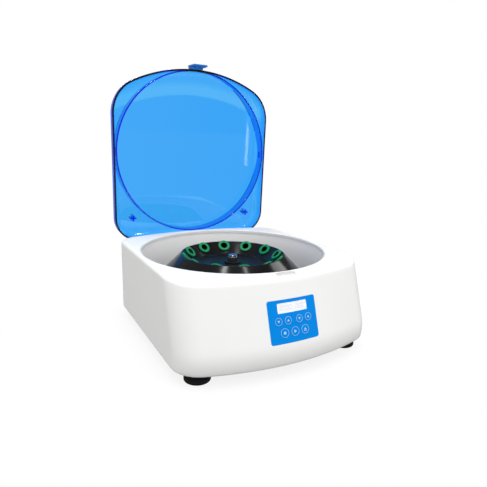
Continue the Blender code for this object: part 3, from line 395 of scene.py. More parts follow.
top_edge = TOP_EDGE + (SIDE_EDGE - TOP_EDGE) * plan_nx ** 2
bend, small_bend = quarter_bend(14), quarter_bend(6)
rise = np.linspace(0, 1, 30)[1:-1, None]
outside = np.concatenate([
    housing_skin(BOTTOM + BOTTOM_EDGE * (1 - np.cos(small_bend)) + 0 * plan_x,
                 BOTTOM_EDGE * (1 - np.sin(small_bend))),
    housing_skin(BOTTOM + BOTTOM_EDGE + rise * (DECK - top_edge - BOTTOM - BOTTOM_EDGE), 0.0),
    housing_skin(DECK - top_edge * (1 - np.sin(bend)), top_edge * (1 - np.cos(bend)))])
plan_angle = np.arctan2(outside[-1, :, 1] - AXIS_Y, outside[-1, :, 0])
inner_edge = top_edge - WALL
inside = np.concatenate([
    housing_skin(DECK - WALL - inner_edge * (1 - np.sin(bend[::-1])),
                 WALL + inner_edge * (1 - np.cos(bend[::-1]))),
    housing_skin(DECK - top_edge - rise * (DECK - top_edge - BOTTOM), WALL),
    housing_skin(BOTTOM + 0 * plan_x[None], WALL)])
across = np.linspace(0, 1, 8)[1:-1, None, None]
deck_loops = outside[-1] + across * (mouth_loop(plan_angle, MOUTH + MOUTH_LIP, DECK) - outside[-1])
lip_loops = mouth_loop(plan_angle + 0 * small_bend, MOUTH + MOUTH_LIP * (1 - np.sin(small_bend)),
                       DECK - MOUTH_LIP * (1 - np.cos(small_bend)))
under_rim = mouth_loop(plan_angle, MOUTH, DECK - WALL)
under_loops = under_rim + across * (inside[0] - under_rim)
housing = surface("housing_body", (np.concatenate(
    [outside, deck_loops, lip_loops, under_rim[None], under_loops, inside]), True))

# White ABS with a fine satin grain: it keeps a soft gloss, and dust greys it only very slightly.
white_abs = graded_finish("abs_moulded_white", (0.9, 0.008, (0.30, 0.38), 70), "EFEFEE", "F3F3F2")
fit(housing, "housing", white_abs, "housing_shell")


# Keypad: a printed polyester film in blue, laid into the front, with round holes where the keys come
# through and a clear window over the display. It follows the slope and the bow of the front.
def face(x, drop, out):
    """Points on the front: across, down the slope from the panel's top, and out along the skin's normal."""
    z = PANEL_TOP - drop * math.cos(FRONT_TILT)
    bow = np.sqrt(FRONT_BOW ** 2 - x ** 2)
    y = AXIS_Y + FRONT - (DECK - z) * math.tan(FRONT_TILT) + FRONT_BOW - bow
    normal = np.stack([x / bow, -1 + 0 * x, math.tan(FRONT_TILT) + 0 * x], axis=-1)
    normal = normal / np.linalg.norm(normal, axis=-1, keepdims=True)
    return np.stack([x + 0 * z, y, z + 0 * x], axis=-1) + normal * (out + 0 * x)[..., None]


SIDE_STEP = 2 * MM
SAME_STOP = 1e-6


def rounded_box(width, height, corner, centre, steps=8):
    """Closed outline of a rectangle with round corners, anticlockwise, as an array (points, 2). Points on the
    straight sides are at most SIDE_STEP apart, so that the outline can follow a bow."""
    angle = np.linspace(0, math.pi / 2, steps + 1) + np.arange(4)[:, None] * math.pi / 2
    arcs = np.stack([np.cos(angle), np.sin(angle)], axis=-1)
    signs = np.array([[1, 1], [-1, 1], [-1, -1], [1, -1]])
    inner = signs * (np.array([width, height]) / 2 - corner)
    points = (inner[:, None] + corner * arcs).reshape(-1, 2) + np.array(centre)
    points = np.vstack([points, points[:1]])
    run = np.concatenate([[0], np.cumsum(np.hypot(*np.diff(points, axis=0).T))])
    stops = np.unique(np.concatenate([run, np.arange(0, run[-1], SIDE_STEP)]))
    stops = stops[np.concatenate([[True], np.diff(stops) > SAME_STOP])][:-1]
    return np.column_stack([np.interp(stops, run, points[:, 0]), np.interp(stops, run, points[:, 1])])


def film(outline, low, high, rings=1):
    """Loops of a thin plate on the front: an outline drawn in to its middle, below and above."""
    middle = outline.mean(axis=0)
    share = np.concatenate([np.linspace(0, 1, rings + 1), np.linspace(1, 0, rings + 1)])[:, None, None]
    flat = middle + share * (outline - middle)
    out = np.repeat([low, high], rings + 1)[:, None]
    return face(flat[..., 0], flat[..., 1], out + 0 * flat[..., 0])


def disc(x, drop, profile, steps=48):
    """Loops of a profile of (radius, height out of the front) points turned about a point on the front."""
    around = circle(steps)
    radius, out = profile[:, :1], profile[:, 1:]
    return face(x + radius * np.cos(around), drop + radius * np.sin(around), out + 0 * around)


overlay_low, overlay_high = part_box("panel_overlay")
PANEL_TOP = overlay_high.z
PANEL_WIDTH = overlay_high.x - overlay_low.x
PANEL_HEIGHT = 54 * MM
PANEL_CORNER = 3 * MM
FILM_PROUD = 0.15 * MM
FILM_DEEP = 0.8 * MM
KEY_GAP = 0.3 * MM
WINDOW = (44 * MM, 12 * MM)
WINDOW_PLACE = (0.0, 10.5 * MM)
WINDOW_CORNER = 1.2 * MM
SMALL_KEY = 5.2 * MM
BIG_KEY = 6.0 * MM
KEY_ROW = 26.3 * MM
BIG_KEY_ROW = 41 * MM
KEY_INNER = 8.4 * MM
KEY_OUTER = 22.2 * MM
BIG_KEY_PITCH = 15.3 * MM
KEY_PLACES = {
    "key_time_down": (-KEY_OUTER, KEY_ROW, SMALL_KEY), "key_time_up": (-KEY_INNER, KEY_ROW, SMALL_KEY),
    "key_speed_down": (KEY_INNER, KEY_ROW, SMALL_KEY), "key_speed_up": (KEY_OUTER, KEY_ROW, SMALL_KEY),
    "key_stop": (-BIG_KEY_PITCH, BIG_KEY_ROW, BIG_KEY), "key_start": (0.0, BIG_KEY_ROW, BIG_KEY),
    "key_lid": (BIG_KEY_PITCH, BIG_KEY_ROW, BIG_KEY)}
PUNCH = 4 * MM
overlay_outline = rounded_box(PANEL_WIDTH, PANEL_HEIGHT, PANEL_CORNER, (0, PANEL_HEIGHT / 2))
overlay = surface("keypad_film", film(overlay_outline, -FILM_DEEP, FILM_PROUD, rings=14))
window_hole = rounded_box(WINDOW[0] + 2 * KEY_GAP, WINDOW[1] + 2 * KEY_GAP, WINDOW_CORNER, WINDOW_PLACE)
carve(overlay, surface("window_hole", film(window_hole, -PUNCH, PUNCH)))
for x, drop, radius in KEY_PLACES.values():
    bore = np.array([(0, -PUNCH), (radius + KEY_GAP, -PUNCH), (radius + KEY_GAP, PUNCH), (0, PUNCH)])
    carve(overlay, surface("key_hole", disc(x, drop, bore)))
# Printed film is an even strong blue under a matt skin that mirrors almost nothing.
film_blue = graded_finish("polyester_film_blue", (0.35, 0.004, (0.32, 0.42), 25), "0083DC", "008AE4",
                          Specular_IOR_Level=0.04)
fit(overlay, "housing", film_blue, "panel_overlay")
GLUE_RIM = (4 * MM, 3.5 * MM)
OPENING_CORNER = 2 * MM
OPENING_DEEP = 9 * MM
opening = rounded_box(PANEL_WIDTH - 2 * GLUE_RIM[0], PANEL_HEIGHT - 2 * GLUE_RIM[1], OPENING_CORNER,
                      (0, PANEL_HEIGHT / 2))
carve(housing, surface("panel_opening", film(opening, -OPENING_DEEP, PUNCH, rings=6)))

# Display: a reflective liquid crystal cell on the control board, behind a clear acrylic pane that is glued
# into the film. The cell is nearly white with a weak painted glow that stands in for the light the pane holds
# back, and its segments are pale grey.
PANE_CORNER = 1 * MM
PANE_DEEP = 1.0 * MM
PANE_PROUD = 0.1 * MM
pane = rounded_box(*WINDOW, PANE_CORNER, WINDOW_PLACE)
acrylic = graded_finish("acrylic_clear", (3.0, 0.0005, (0.02, 0.05), 15), "FFFFFF", IOR=1.49,
                        Transmission_Weight=1.0)
display_pane = surface("display_pane", film(pane, -PANE_DEEP, PANE_PROUD, rings=6))
fit(display_pane, "housing", acrylic, "display_window")
# The cell's emission is a painted glow: a reflective cell gives no light of its own.
cell = graded_finish("lcd_cell_painted_glow", (0.5, 0.002, (0.26, 0.34), 12), "F2F5F8", "F8FAFC",
                     Emission_Strength=0.35, Emission_Color=linear("F4F8FF"))
LCD_DEEP = 1.4 * MM
LCD_THICK = 1.5 * MM
LCD_MARGIN = 1 * MM
LCD_CORNER = 0.6 * MM
lcd = rounded_box(WINDOW[0] + 2 * LCD_MARGIN, WINDOW[1] + 2 * LCD_MARGIN, LCD_CORNER, WINDOW_PLACE)
display_cell = surface("display_cell", film(lcd, -LCD_DEEP - LCD_THICK, -LCD_DEEP, rings=4))
fit(display_cell, "housing", cell, "display_module")
lcd_segment = graded_finish("lcd_segment_grey", (0.5, 0.002, (0.36, 0.44), 10), "B9BEC6")
DIGIT = (3.4 * MM, 5.4 * MM)
DIGIT_PLACES = (-17.5 * MM, -12.7 * MM, -6.9 * MM, -2.1 * MM, 7.0 * MM, 11.8 * MM, 16.6 * MM)
STROKE = 0.55 * MM
SEGMENT_LOW = -LCD_DEEP + 0.01 * MM
SEGMENT_HIGH = -LCD_DEEP + 0.06 * MM
# Every digit is a zero of six strokes, each given by its place across and down in half digits.
ZERO = ((0, -1), (0, 1), (-1, -0.5), (1, -0.5), (-1, 0.5), (1, 0.5))
segments = []
for digit_x in DIGIT_PLACES:
    for side, down in ZERO:
        length = DIGIT[0] - STROKE if side == 0 else DIGIT[1] / 2 - STROKE
        width, height = (length, STROKE) if side == 0 else (STROKE, length)
        centre = (digit_x + side * DIGIT[0] / 2, WINDOW_PLACE[1] + down * DIGIT[1] / 2)
        stroke = rounded_box(width, height, STROKE / 3, centre, steps=2)
        segments.append(film(stroke, SEGMENT_LOW, SEGMENT_HIGH))
fit(surface("display_digits", *segments), "housing", lcd_segment)

# Keys: round caps under the same blue film, each on a rubber dome on the control board, with a ring and a
# sign screen printed in pale ink. The film looks matt, and the ink lies on it as a thin dull coat.
key_film = graded_finish("polyester_film_key", (0.35, 0.004, (0.34, 0.44), 10), "0083DA", "0389E2",
                         Specular_IOR_Level=0.04)
key_ink = graded_finish("screen_ink_pale_blue", (0.25, 0.004, (0.4, 0.5), 6), "A9D3F5")
KEY_TOP = 0.3 * MM
KEY_CROWN = 0.1 * MM
KEY_ROUND = 0.25 * MM
KEY_DEEP = 1.5 * MM
KEY_HEEL = 0.1 * MM
KEY_RING = (0.3 * MM, 0.7 * MM)
ink_low, ink_high = KEY_TOP - 0.15 * MM, KEY_TOP + 0.05 * MM
TRIANGLE = np.array([[-0.5, 0.36], [0.5, 0.36], [0.0, -0.5]])
SQUARE = np.array([[-0.5, -0.5], [0.5, -0.5], [0.5, 0.5], [-0.5, 0.5]])
BAR = SQUARE * (1.0, 0.22)
ICON = 3.4 * MM
BIG_ICON = 4.2 * MM
STOP_ICON = 0.75 * BIG_ICON
LID_ICON = (0.95 * BIG_ICON, 0.7 * BIG_ICON)
LID_ICON_LIFT = 0.5 * MM
LID_BAR_DROP = 1.8 * MM
QUARTER_TURN = np.array([[0, 1], [-1, 0]])
SIGNS = {
    "key_time_down": [-TRIANGLE * ICON], "key_time_up": [TRIANGLE * ICON],
    "key_speed_down": [-TRIANGLE * ICON], "key_speed_up": [TRIANGLE * ICON],
    "key_stop": [SQUARE * STOP_ICON], "key_start": [TRIANGLE @ QUARTER_TURN * BIG_ICON],
    "key_lid": [TRIANGLE * LID_ICON - (0, LID_ICON_LIFT), BAR * LID_ICON[0] + (0, LID_BAR_DROP)]}
for name, (x, drop, radius) in KEY_PLACES.items():
    cap = rounded([(0, KEY_TOP, 0), (radius, KEY_TOP - KEY_CROWN, KEY_ROUND), (radius, -KEY_DEEP, KEY_HEEL),
                   (0, -KEY_DEEP, 0)], steps=5)
    fit(surface(f"cap_{name}", disc(x, drop, cap)), name, key_film, name)
    ring_out, ring_in = radius - KEY_RING[0], radius - KEY_RING[1]
    ring = np.array([(ring_in, ink_low), (ring_out, ink_low), (ring_out, ink_high), (ring_in, ink_high)])
    prints = [(disc(x, drop, ring), True)]
    prints += [film(sign + (x, drop), ink_low, ink_high) for sign in SIGNS[name]]
    fit(surface(f"print_{name}", *prints), name, key_ink)
# A circuit board is glass fibre under deep green lacquer, with a soft gloss.
board_green = graded_finish("fibreglass_board_green", (0.4, 0.01, (0.34, 0.46), 12), "1E5B34")
coat(board_green, "control_board", "power_board")


# Rotor: turned aluminium, black anodised and polished. A cone outside, a dish inside, and twelve bores
# square to the dish for the sleeves. It sits on the shaft's collar and a bright nut holds it down.
rotor_low, rotor_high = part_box("rotor_body")
ROTOR_OUT = rotor_high.x
ROTOR_RIM = rotor_high.z
ROTOR_SKIRT = 8 * MM
ROTOR_EDGE = 0.5 * MM
ROTOR_ROUND = 4 * MM
ROTOR_FILLET = 2 * MM
ROTOR_STEPS = 240
RIM = 79.3 * MM
RIM_LAND = 0.6 * MM
CONE_SKIN = 2 * MM
DISH_DEPTH = 18.2 * MM
DISH_SKIN = 3 * MM
DISH_FLOOR = 4 * MM
DISH_FILLET = 5 * MM
HUB = 12.5 * MM
HUB_RISE = 5.2 * MM
HUB_DROP = 20 * MM
HUB_EDGE = 1 * MM
HUB_FILLET = 2.5 * MM
BORE = 4.8 * MM
rim_out, rim_in = RIM + RIM_LAND, RIM - RIM_LAND
dish = ROTOR_RIM - DISH_DEPTH
dish_under = dish - DISH_FLOOR
lip = ROTOR_OUT - CONE_SKIN
under_cone = rim_out - CONE_SKIN * math.sqrt(2)
under_dish = rim_in + DISH_SKIN * math.sqrt(2)
ridge = (under_dish - under_cone) / 2
rotor_section = rounded([
    (BORE, dish + HUB_RISE, 0), (HUB, dish + HUB_RISE, HUB_EDGE), (HUB, dish, HUB_FILLET),
    (rim_in - DISH_DEPTH, dish, DISH_FILLET), (rim_in, ROTOR_RIM, ROTOR_EDGE),
    (rim_out, ROTOR_RIM, ROTOR_EDGE), (ROTOR_OUT, rotor_low.z + ROTOR_SKIRT, ROTOR_ROUND),
    (ROTOR_OUT, rotor_low.z, ROTOR_EDGE), (lip, rotor_low.z, ROTOR_EDGE),
    (lip, ROTOR_RIM - (lip - under_cone), ROTOR_FILLET), (under_cone + ridge, ROTOR_RIM - ridge, 0),
    (under_dish - (ROTOR_RIM - dish_under), dish_under, ROTOR_FILLET), (HUB, dish_under, HUB_EDGE),
    (HUB, dish_under - HUB_DROP, ROTOR_EDGE), (BORE, dish_under - HUB_DROP, 0)])
rotor = surface("anodised_rotor", (turned(rotor_section, ROTOR_STEPS, AXIS), True))

SLEEVES = 12
SLEEVE_ANGLE = math.radians(15)
SEAT_RADIUS = 72.2 * MM
SEAT_LIFT = 0.8 * MM
SLEEVE_RADIUS = 7 * MM
SLEEVE_BORE = 5.4 * MM
SLEEVE_LENGTH = 52 * MM
FLANGE_RADIUS = 9.75 * MM
FLANGE = 2 * MM
seat_height = ROTOR_RIM - (rim_in - SEAT_RADIUS)


def sleeve_matrix(number):
    """Place of a sleeve: its axis leant 45 degrees from the rotor's axis and turned around it."""
    around = SLEEVE_ANGLE + 2 * math.pi * number / SLEEVES
    return (Matrix.Translation((0, AXIS_Y, 0)) @ Matrix.Rotation(around, 4, 'Z')
            @ Matrix.Translation((SEAT_RADIUS, 0, seat_height)) @ Matrix.Rotation(-math.pi / 4, 4, 'Y'))


def sleeve_place(loops, number):
    """Loops about a sleeve's own axis, set at its place in the rotor."""
    place = np.array(sleeve_matrix(number))
    return loops @ place[:3, :3].T + place[:3, 3]


BORE_GAP = 0.3 * MM
DRILL_DEEP = 6 * MM
DRILL_PROUD = 3 * MM
drill = SLEEVE_RADIUS + BORE_GAP
bore_section = np.array([(0, -DRILL_DEEP), (drill, -DRILL_DEEP), (drill, DRILL_PROUD), (0, DRILL_PROUD)])
for number in range(SLEEVES):
    carve(rotor, surface("sleeve_bore", sleeve_place(turned(bore_section, steps=40), number)))

# Anodising is a thin hard glass-like skin on a turned face: black, clear gloss, very fine turning lines.
anodised, tree, shader = new_finish("aluminium_anodised_black", Specular_IOR_Level=0.16)
place = add_node(tree, "ShaderNodeTexCoord", {}).outputs["Object"]
centred = add_node(tree, "ShaderNodeMapping", {"Vector": place, "Location": (0, -AXIS_Y, 0)})
parts = add_node(tree, "ShaderNodeSeparateXYZ", {"Vector": centred.outputs["Vector"]})
flat = add_node(tree, "ShaderNodeCombineXYZ", {"X": parts.outputs["X"], "Y": parts.outputs["Y"]})
reach = add_node(tree, "ShaderNodeVectorMath", {0: flat.outputs["Vector"]}, operation='LENGTH')
radius = reach.outputs["Value"]
# The feed of the turning lines is coarser than the real one so that it shows.
FEED = 0.8 * MM
FEED_DEPTH = 0.001 * MM
lines = add_node(tree, "ShaderNodeMath", {0: radius, 1: 2 * math.pi / FEED}, operation='MULTIPLY')
waves = add_node(tree, "ShaderNodeMath", {0: lines.outputs["Value"]}, operation='SINE')
relief = add_node(tree, "ShaderNodeBump", {"Height": waves.outputs["Value"], "Distance": FEED_DEPTH})
tree.links.new(relief.outputs["Normal"], shader.inputs["Normal"])
POLISH_CLOUD = 25 * MM
clouds = add_node(tree, "ShaderNodeTexNoise", {"Vector": place, "Scale": 1 / POLISH_CLOUD, "Detail": 3.0})
sheen = add_node(tree, "ShaderNodeMapRange", {"Value": clouds.outputs["Fac"], "To Min": 0.10, "To Max": 0.20})
# The floor of the dish is left as turned, so it is duller than the polished faces around it.
FLOOR_MATT = 0.22
FLOOR_FADE = (54 * MM, 64 * MM)
floor_matt = add_node(tree, "ShaderNodeMapRange",
                      {"Value": radius, "From Min": FLOOR_FADE[0], "From Max": FLOOR_FADE[1],
                       "To Min": FLOOR_MATT, "To Max": 0.0})
dull = add_node(tree, "ShaderNodeMath", {0: sheen.outputs["Result"], 1: floor_matt.outputs["Result"]},
                operation='ADD')
tree.links.new(dull.outputs["Value"], shader.inputs["Roughness"])
two_tone(tree, shader, clouds.outputs["Fac"], "131315", "1A1A1C")
fit(rotor, "rotor", anodised, "rotor_body")


# Tube sleeves: twelve flanged cups moulded in green polypropylene, pushed into the rotor's bores. The
# flange rests on the dish and the tube stands in the cup.
CUP_FLOOR = 1.8 * MM
CUP_FILLET = 3 * MM
CUP_TIP = 3.5 * MM
CUP_MOUTH = 0.7 * MM
FLANGE_ROUND = 0.8 * MM
FLANGE_EDGE = 0.3 * MM
FLANGE_FILLET = 0.2 * MM
sleeve_mouth = SEAT_LIFT + FLANGE
cup_floor = -SLEEVE_LENGTH + CUP_FLOOR
sleeve_section = rounded([
    (0, cup_floor, 0), (SLEEVE_BORE, cup_floor, CUP_FILLET), (SLEEVE_BORE, sleeve_mouth, CUP_MOUTH),
    (FLANGE_RADIUS, sleeve_mouth, FLANGE_ROUND), (FLANGE_RADIUS, SEAT_LIFT, FLANGE_EDGE),
    (SLEEVE_RADIUS, SEAT_LIFT, FLANGE_FILLET), (SLEEVE_RADIUS, -SLEEVE_LENGTH, CUP_TIP),
    (0, -SLEEVE_LENGTH, 0)], steps=6)
# Polypropylene is a little waxy: satin, with light that goes a short way in.
polypropylene = graded_finish("polypropylene_green", (0.5, 0.01, (0.28, 0.38), 8), "0F7F50", "158C5B",
                              Specular_IOR_Level=0.12, Subsurface_Weight=0.04,
                              Subsurface_Radius=(0.4 * MM, 1.2 * MM, 0.8 * MM))
# The inside of the narrow cup is painted a near-black green: painted shade where little light gets in.
shaded_bore = graded_finish("polypropylene_green_painted_shade", (0.4, 0.02, (0.5, 0.7), 5), "050D09", "0A1812")
BORE_SLACK = 0.05 * MM
for number in range(SLEEVES):
    name = f"tube_sleeve_{number + 1:02d}"
    cup = surface(f"cup_{number + 1:02d}", sleeve_place(turned(sleeve_section, steps=56), number))
    fit(cup, "rotor", polypropylene, name)
    # Faces inside the bore, above the cup's floor, take the painted shade.
    cup.data.materials.append(shaded_bore)
    middle = np.empty(len(cup.data.polygons) * 3)
    cup.data.polygons.foreach_get("center", middle)
    back = np.linalg.inv(np.array(sleeve_matrix(number)))
    middle = middle.reshape(-1, 3) @ back[:3, :3].T + back[:3, 3]
    in_bore = np.hypot(middle[:, 0], middle[:, 1]) < SLEEVE_BORE + BORE_SLACK
    in_cup = in_bore & (middle[:, 2] > cup_floor - CUP_FLOOR / 2)
    cup.data.polygons.foreach_set("material_index", in_cup.astype(np.int32))


# Rotor nut: turned from aluminium and left bright, with a fluted grip, a plain crown and a hexagon socket
# in its top. It is screwed onto the shaft's end and presses the rotor onto the collar.
nut_low, nut_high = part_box("rotor_nut")
NUT_RADIUS = nut_high.x
NUT_CROWN = 7 * MM
CROWN_HEIGHT = 2.5 * MM
NUT_CAP = 4.5 * MM
SOCKET = 2.6 * MM
SOCKET_DEPTH = 3 * MM
NUT_EDGE = 0.3 * MM
NUT_HEEL = 0.5 * MM
SOCKET_FILLET = 0.2 * MM
CROWN_ROUND = 0.8 * MM
CROWN_FILLET = 0.4 * MM
GRIP_ROUND = 0.7 * MM
GRIP_GAP = 0.4 * MM
GRIP_RAMP = 0.5 * MM
FLUTES = 20
FLUTE_DEPTH = 0.35 * MM
NUT_STEPS = 240
NUT_SLACK = 0.01 * MM
nut_top, crown_foot = nut_high.z, nut_high.z - CROWN_HEIGHT
socket_floor, cap_under = nut_high.z - SOCKET_DEPTH, nut_high.z - NUT_CAP
nut_section = rounded([
    (0, socket_floor, 0), (SOCKET, socket_floor, SOCKET_FILLET), (SOCKET, nut_top, NUT_EDGE),
    (NUT_CROWN, nut_top, CROWN_ROUND), (NUT_CROWN, crown_foot, CROWN_FILLET),
    (NUT_RADIUS, crown_foot, GRIP_ROUND), (NUT_RADIUS, nut_low.z, NUT_HEEL), (BORE, nut_low.z, NUT_EDGE),
    (BORE, cap_under, 0), (0, cap_under, 0)], steps=5)
nut_loops = turned(nut_section, NUT_STEPS, AXIS)
around = circle(NUT_STEPS)
grip = np.clip((nut_section[:, 0] - NUT_CROWN - GRIP_GAP) / GRIP_RAMP, 0, 1)[:, None]
draw = 1 - grip * FLUTE_DEPTH / NUT_RADIUS * (0.5 - 0.5 * np.cos(FLUTES * around))
hexagon = math.cos(math.pi / 6) / np.cos((around + math.pi / 6) % (math.pi / 3) - math.pi / 6)
in_socket = (nut_section[:, 0] <= SOCKET + NUT_SLACK) & (nut_section[:, 1] > cap_under + NUT_SLACK)
draw = np.where(in_socket[:, None], hexagon, draw)
nut_loops[..., 0] *= draw
nut_loops[..., 1] = AXIS_Y + (nut_loops[..., 1] - AXIS_Y) * draw
# Bare turned aluminium is a bright pale grey with crisp highlights.
bright = graded_finish("aluminium_turned_bright", (0.3, 0.003, (0.15, 0.26), 5), "A8AAAE", Metallic=1.0)
fit(surface("fluted_nut", nut_loops), "rotor", bright, "rotor_nut")


# Lid: a tray of blue see-through polycarbonate, vacuum formed with a rounded edge and a sloped front. A
# ring inside it stands over the bowl's edge, and two cross-shaped posts stand near the hinge.
hinge = next(joint for joint in frame["joints"] if joint["name"] == "lid_hinge")
LID_OPEN = math.radians(hinge["range_deg"][1])
LID_GAP = 0.6 * MM
LID_BOTTOM = DECK + LID_GAP
LID_HALF = 143.4 * MM
LID_FRONT = -140.5 * MM
LID_REAR = 151 * MM
LID_BOW = 249 * MM
LID_REAR_BOW = 10.0
LID_FRONT_CORNER = 59 * MM
LID_REAR_CORNER = 40 * MM
LID_DEPTH = 23 * MM
LID_EDGE = 12 * MM
LID_LIP = 0.6 * MM
LID_WALL = 3 * MM
LID_CREASE = 42 * MM
LID_DROP = 0.45
CREASE_BOW = 313 * MM
CREASE_SOFT = 0.04
STRETCH = 0.17
STRETCH_HOLD = 0.35
STRETCH_FADE = 0.25
LID_RING = (137.0 * MM, 139.2 * MM)
STUD_X = 111 * MM
STUD_Y = 112 * MM
STUD_SPAN = 5.2 * MM
STUD_RIB = 1.2 * MM
STUD_HEIGHT = 14 * MM


def swing(points):
    """Turn points of the closed lid about the hinge to where it stands open."""
    pivot = np.array(hinge["pos_m"])
    turn = np.array(Matrix.Rotation(-LID_OPEN, 3, 'X'))
    return (points - pivot) @ turn.T + pivot


def lid_point(x, y, height, inset):
    """Point of the closed lid at a height over its edge. Near the front all heights shrink along a ramp that
    runs from the bowed crease to the front edge, with a soft start. Along the crease the wall is stretched
    thin."""
    ramp = (LID_CREASE - (y - LID_FRONT - CREASE_BOW + np.sqrt(CREASE_BOW ** 2 - x ** 2))) / LID_CREASE
    fade = np.clip(1 - (ramp - STRETCH_HOLD) / STRETCH_FADE, 0, 1)
    thin = STRETCH * np.clip(ramp / CREASE_SOFT, 0, 1) * fade
    ramp = (ramp + np.sqrt(ramp ** 2 + CREASE_SOFT ** 2)) / 2
    z = LID_BOTTOM - inset * (1 - thin) + (height + inset) * (1 - LID_DROP * ramp)
    return np.stack([x, AXIS_Y + y, z], axis=-1)


lid_x, lid_share, lid_shift, lid_nx, lid_ny = plan(
    LID_HALF, LID_BOW, LID_FRONT_CORNER, LID_REAR_BOW, LID_REAR_CORNER)
lid_y = lid_share * LID_FRONT + (1 - lid_share) * LID_REAR + lid_shift


def lid_side(inset, wall_loops=4, plate_loops=63):
    """Loops of one skin of the lid from its lower edge over the rounded edge to the middle of the plate."""
    edge, top = LID_EDGE - inset, LID_DEPTH - inset
    sweep, fillet = quarter_bend(20), quarter_bend(5)
    sign = 1 if inset == 0 else -1
    wall = np.linspace(LID_LIP, top - edge, wall_loops + 2)[1:-1, None]
    height = np.concatenate([LID_LIP * (1 - np.cos(fillet)), wall, top - edge * (1 - np.sin(sweep))])
    draw = np.concatenate([inset + sign * LID_LIP * (1 - np.sin(fillet)), np.full_like(wall, inset),
                           inset + edge * (1 - np.cos(sweep))])
    x, y = lid_x - lid_nx * draw, lid_y - lid_ny * draw
    rise = inset * np.clip(height / (top - edge), 0, 1) + 0 * x
    rim = lid_point(x, y, height + 0 * x, rise)
    share = np.linspace(1, 0, plate_loops + 1)[1:, None]
    middle = (LID_FRONT + LID_REAR) / 2
    plate = lid_point(share * x[-1], middle + share * (y[-1] - middle), top, inset)
    return np.concatenate([rim, plate])


lid = surface("lid_tray", swing(np.concatenate([lid_side(0.0)[::-1], lid_side(LID_WALL)])))

ring_angle = circle(240)
ring_middle = sum(LID_RING) / 2
ring_x, ring_y = ring_middle * np.cos(ring_angle), ring_middle * np.sin(ring_angle)
to_front = LID_BOW - np.hypot(ring_x, ring_y - LID_FRONT - LID_BOW)
to_edge = np.minimum(np.minimum(to_front, LID_HALF - np.abs(ring_x)), LID_REAR - ring_y)
round_off = np.clip(LID_EDGE - to_edge, 0, LID_EDGE)
roof = LID_DEPTH - LID_EDGE + np.sqrt(LID_EDGE ** 2 - round_off ** 2)
RING_SINK = 1.4 * MM
RING_LIFT = 0.4 * MM
RING_EDGE = 0.5 * MM
RING_ARC = 0.3 * RING_EDGE
# Rounded free edge. The loops just above it keep the ring's walls flat, so that light goes straight through.
ring_low, ring_high = LID_RING
ring_steps = [(ring_low, None), (ring_low, 2 * RING_EDGE), (ring_low, RING_EDGE),
              (ring_low + RING_ARC, RING_ARC), (ring_low + RING_EDGE, 0.0),
              (ring_high - RING_EDGE, 0.0), (ring_high - RING_ARC, RING_ARC),
              (ring_high, RING_EDGE), (ring_high, 2 * RING_EDGE), (ring_high, None)]
ring_loops = []
for radius, height in ring_steps:
    x, y = radius * np.cos(ring_angle), radius * np.sin(ring_angle)
    if height is None:
        ring_loops.append(lid_point(x, y, roof, 0.0) - (0, 0, RING_SINK))
    else:
        ring_loops.append(np.stack([x, AXIS_Y + y, LID_BOTTOM + RING_LIFT + height + 0 * x], axis=-1))
carve(lid, surface("ring", (swing(np.stack(ring_loops)), True)), 'UNION')
cross = np.array([[STUD_SPAN, STUD_RIB], [STUD_RIB, STUD_RIB], [STUD_RIB, STUD_SPAN]])
cross = np.concatenate([cross @ np.linalg.matrix_power(QUARTER_TURN, k) for k in range(4)])
stud_top = LID_BOTTOM + LID_DEPTH - LID_WALL / 2
stud_low = LID_BOTTOM + LID_DEPTH - LID_WALL - STUD_HEIGHT
stud_steps = [(0.0, stud_top), (1.0, stud_top), (1.0, stud_low), (0.0, stud_low)]
for side in (-1, 1):
    stud = [np.column_stack([share * cross + (side * STUD_X, AXIS_Y + STUD_Y), np.full(len(cross), z)])
            for share, z in stud_steps]
    carve(lid, surface("stud", swing(np.stack(stud))), 'UNION')
LID_SHARP = math.radians(50)
lid.data.set_sharp_from_angle(angle=LID_SHARP)

# Clear polycarbonate takes its colour in depth: pale sky blue through the plate, navy along the edges.
LID_TINT = (0.0, 0.71, 0.99, 1.0)
LID_DENSITY = 1000.0
lid_blue = graded_finish("polycarbonate_clear_blue", (30.0, 0.02, (0.01, 0.04), 90), "FFFFFF", IOR=1.58,
                         Transmission_Weight=1.0)
tree = lid_blue.node_tree
depth_tint = add_node(tree, "ShaderNodeVolumeAbsorption", {"Color": LID_TINT, "Density": LID_DENSITY})
tree.links.new(depth_tint.outputs["Volume"], tree.nodes["Material Output"].inputs["Volume"])
fit(lid, "lid", lid_blue, "lid_shell")


# Lid hook: a thicker moulded tongue in deeper blue polycarbonate at the middle of the lid's front. Its
# tip goes through the slot in the deck and the lock's bolt goes into the notch in its side.
HOOK_HALF = 12.5 * MM
HOOK_THICK = 3.6 * MM
HOOK_REACH = 18 * MM
HOOK_RISE = 10 * MM
HOOK_CORNER = 2 * MM
HOOK_ROUND = 0.7 * MM
HOOK_Y = -145.1 * MM
NOTCH_DEPTH = 6 * MM
NOTCH_HALF = 2.8 * MM
NOTCH_OPEN = 1 * MM
BOLT_DROP = 12.5 * MM
ROOT_INSET = 1 * MM
ROOT_LIFT = 0.5 * MM
ROOT_GAP = 0.3 * MM
FLAT_SHARE = 0.6
hook_plane = AXIS_Y + HOOK_Y
bolt_z = DECK - BOLT_DROP


def swung(piece):
    """Turn the mesh of a piece made for the closed lid to where the lid stands open."""
    corners = np.empty(len(piece.data.vertices) * 3)
    piece.data.vertices.foreach_get("co", corners)
    piece.data.vertices.foreach_set("co", swing(corners.reshape(-1, 3)).ravel())
    return piece


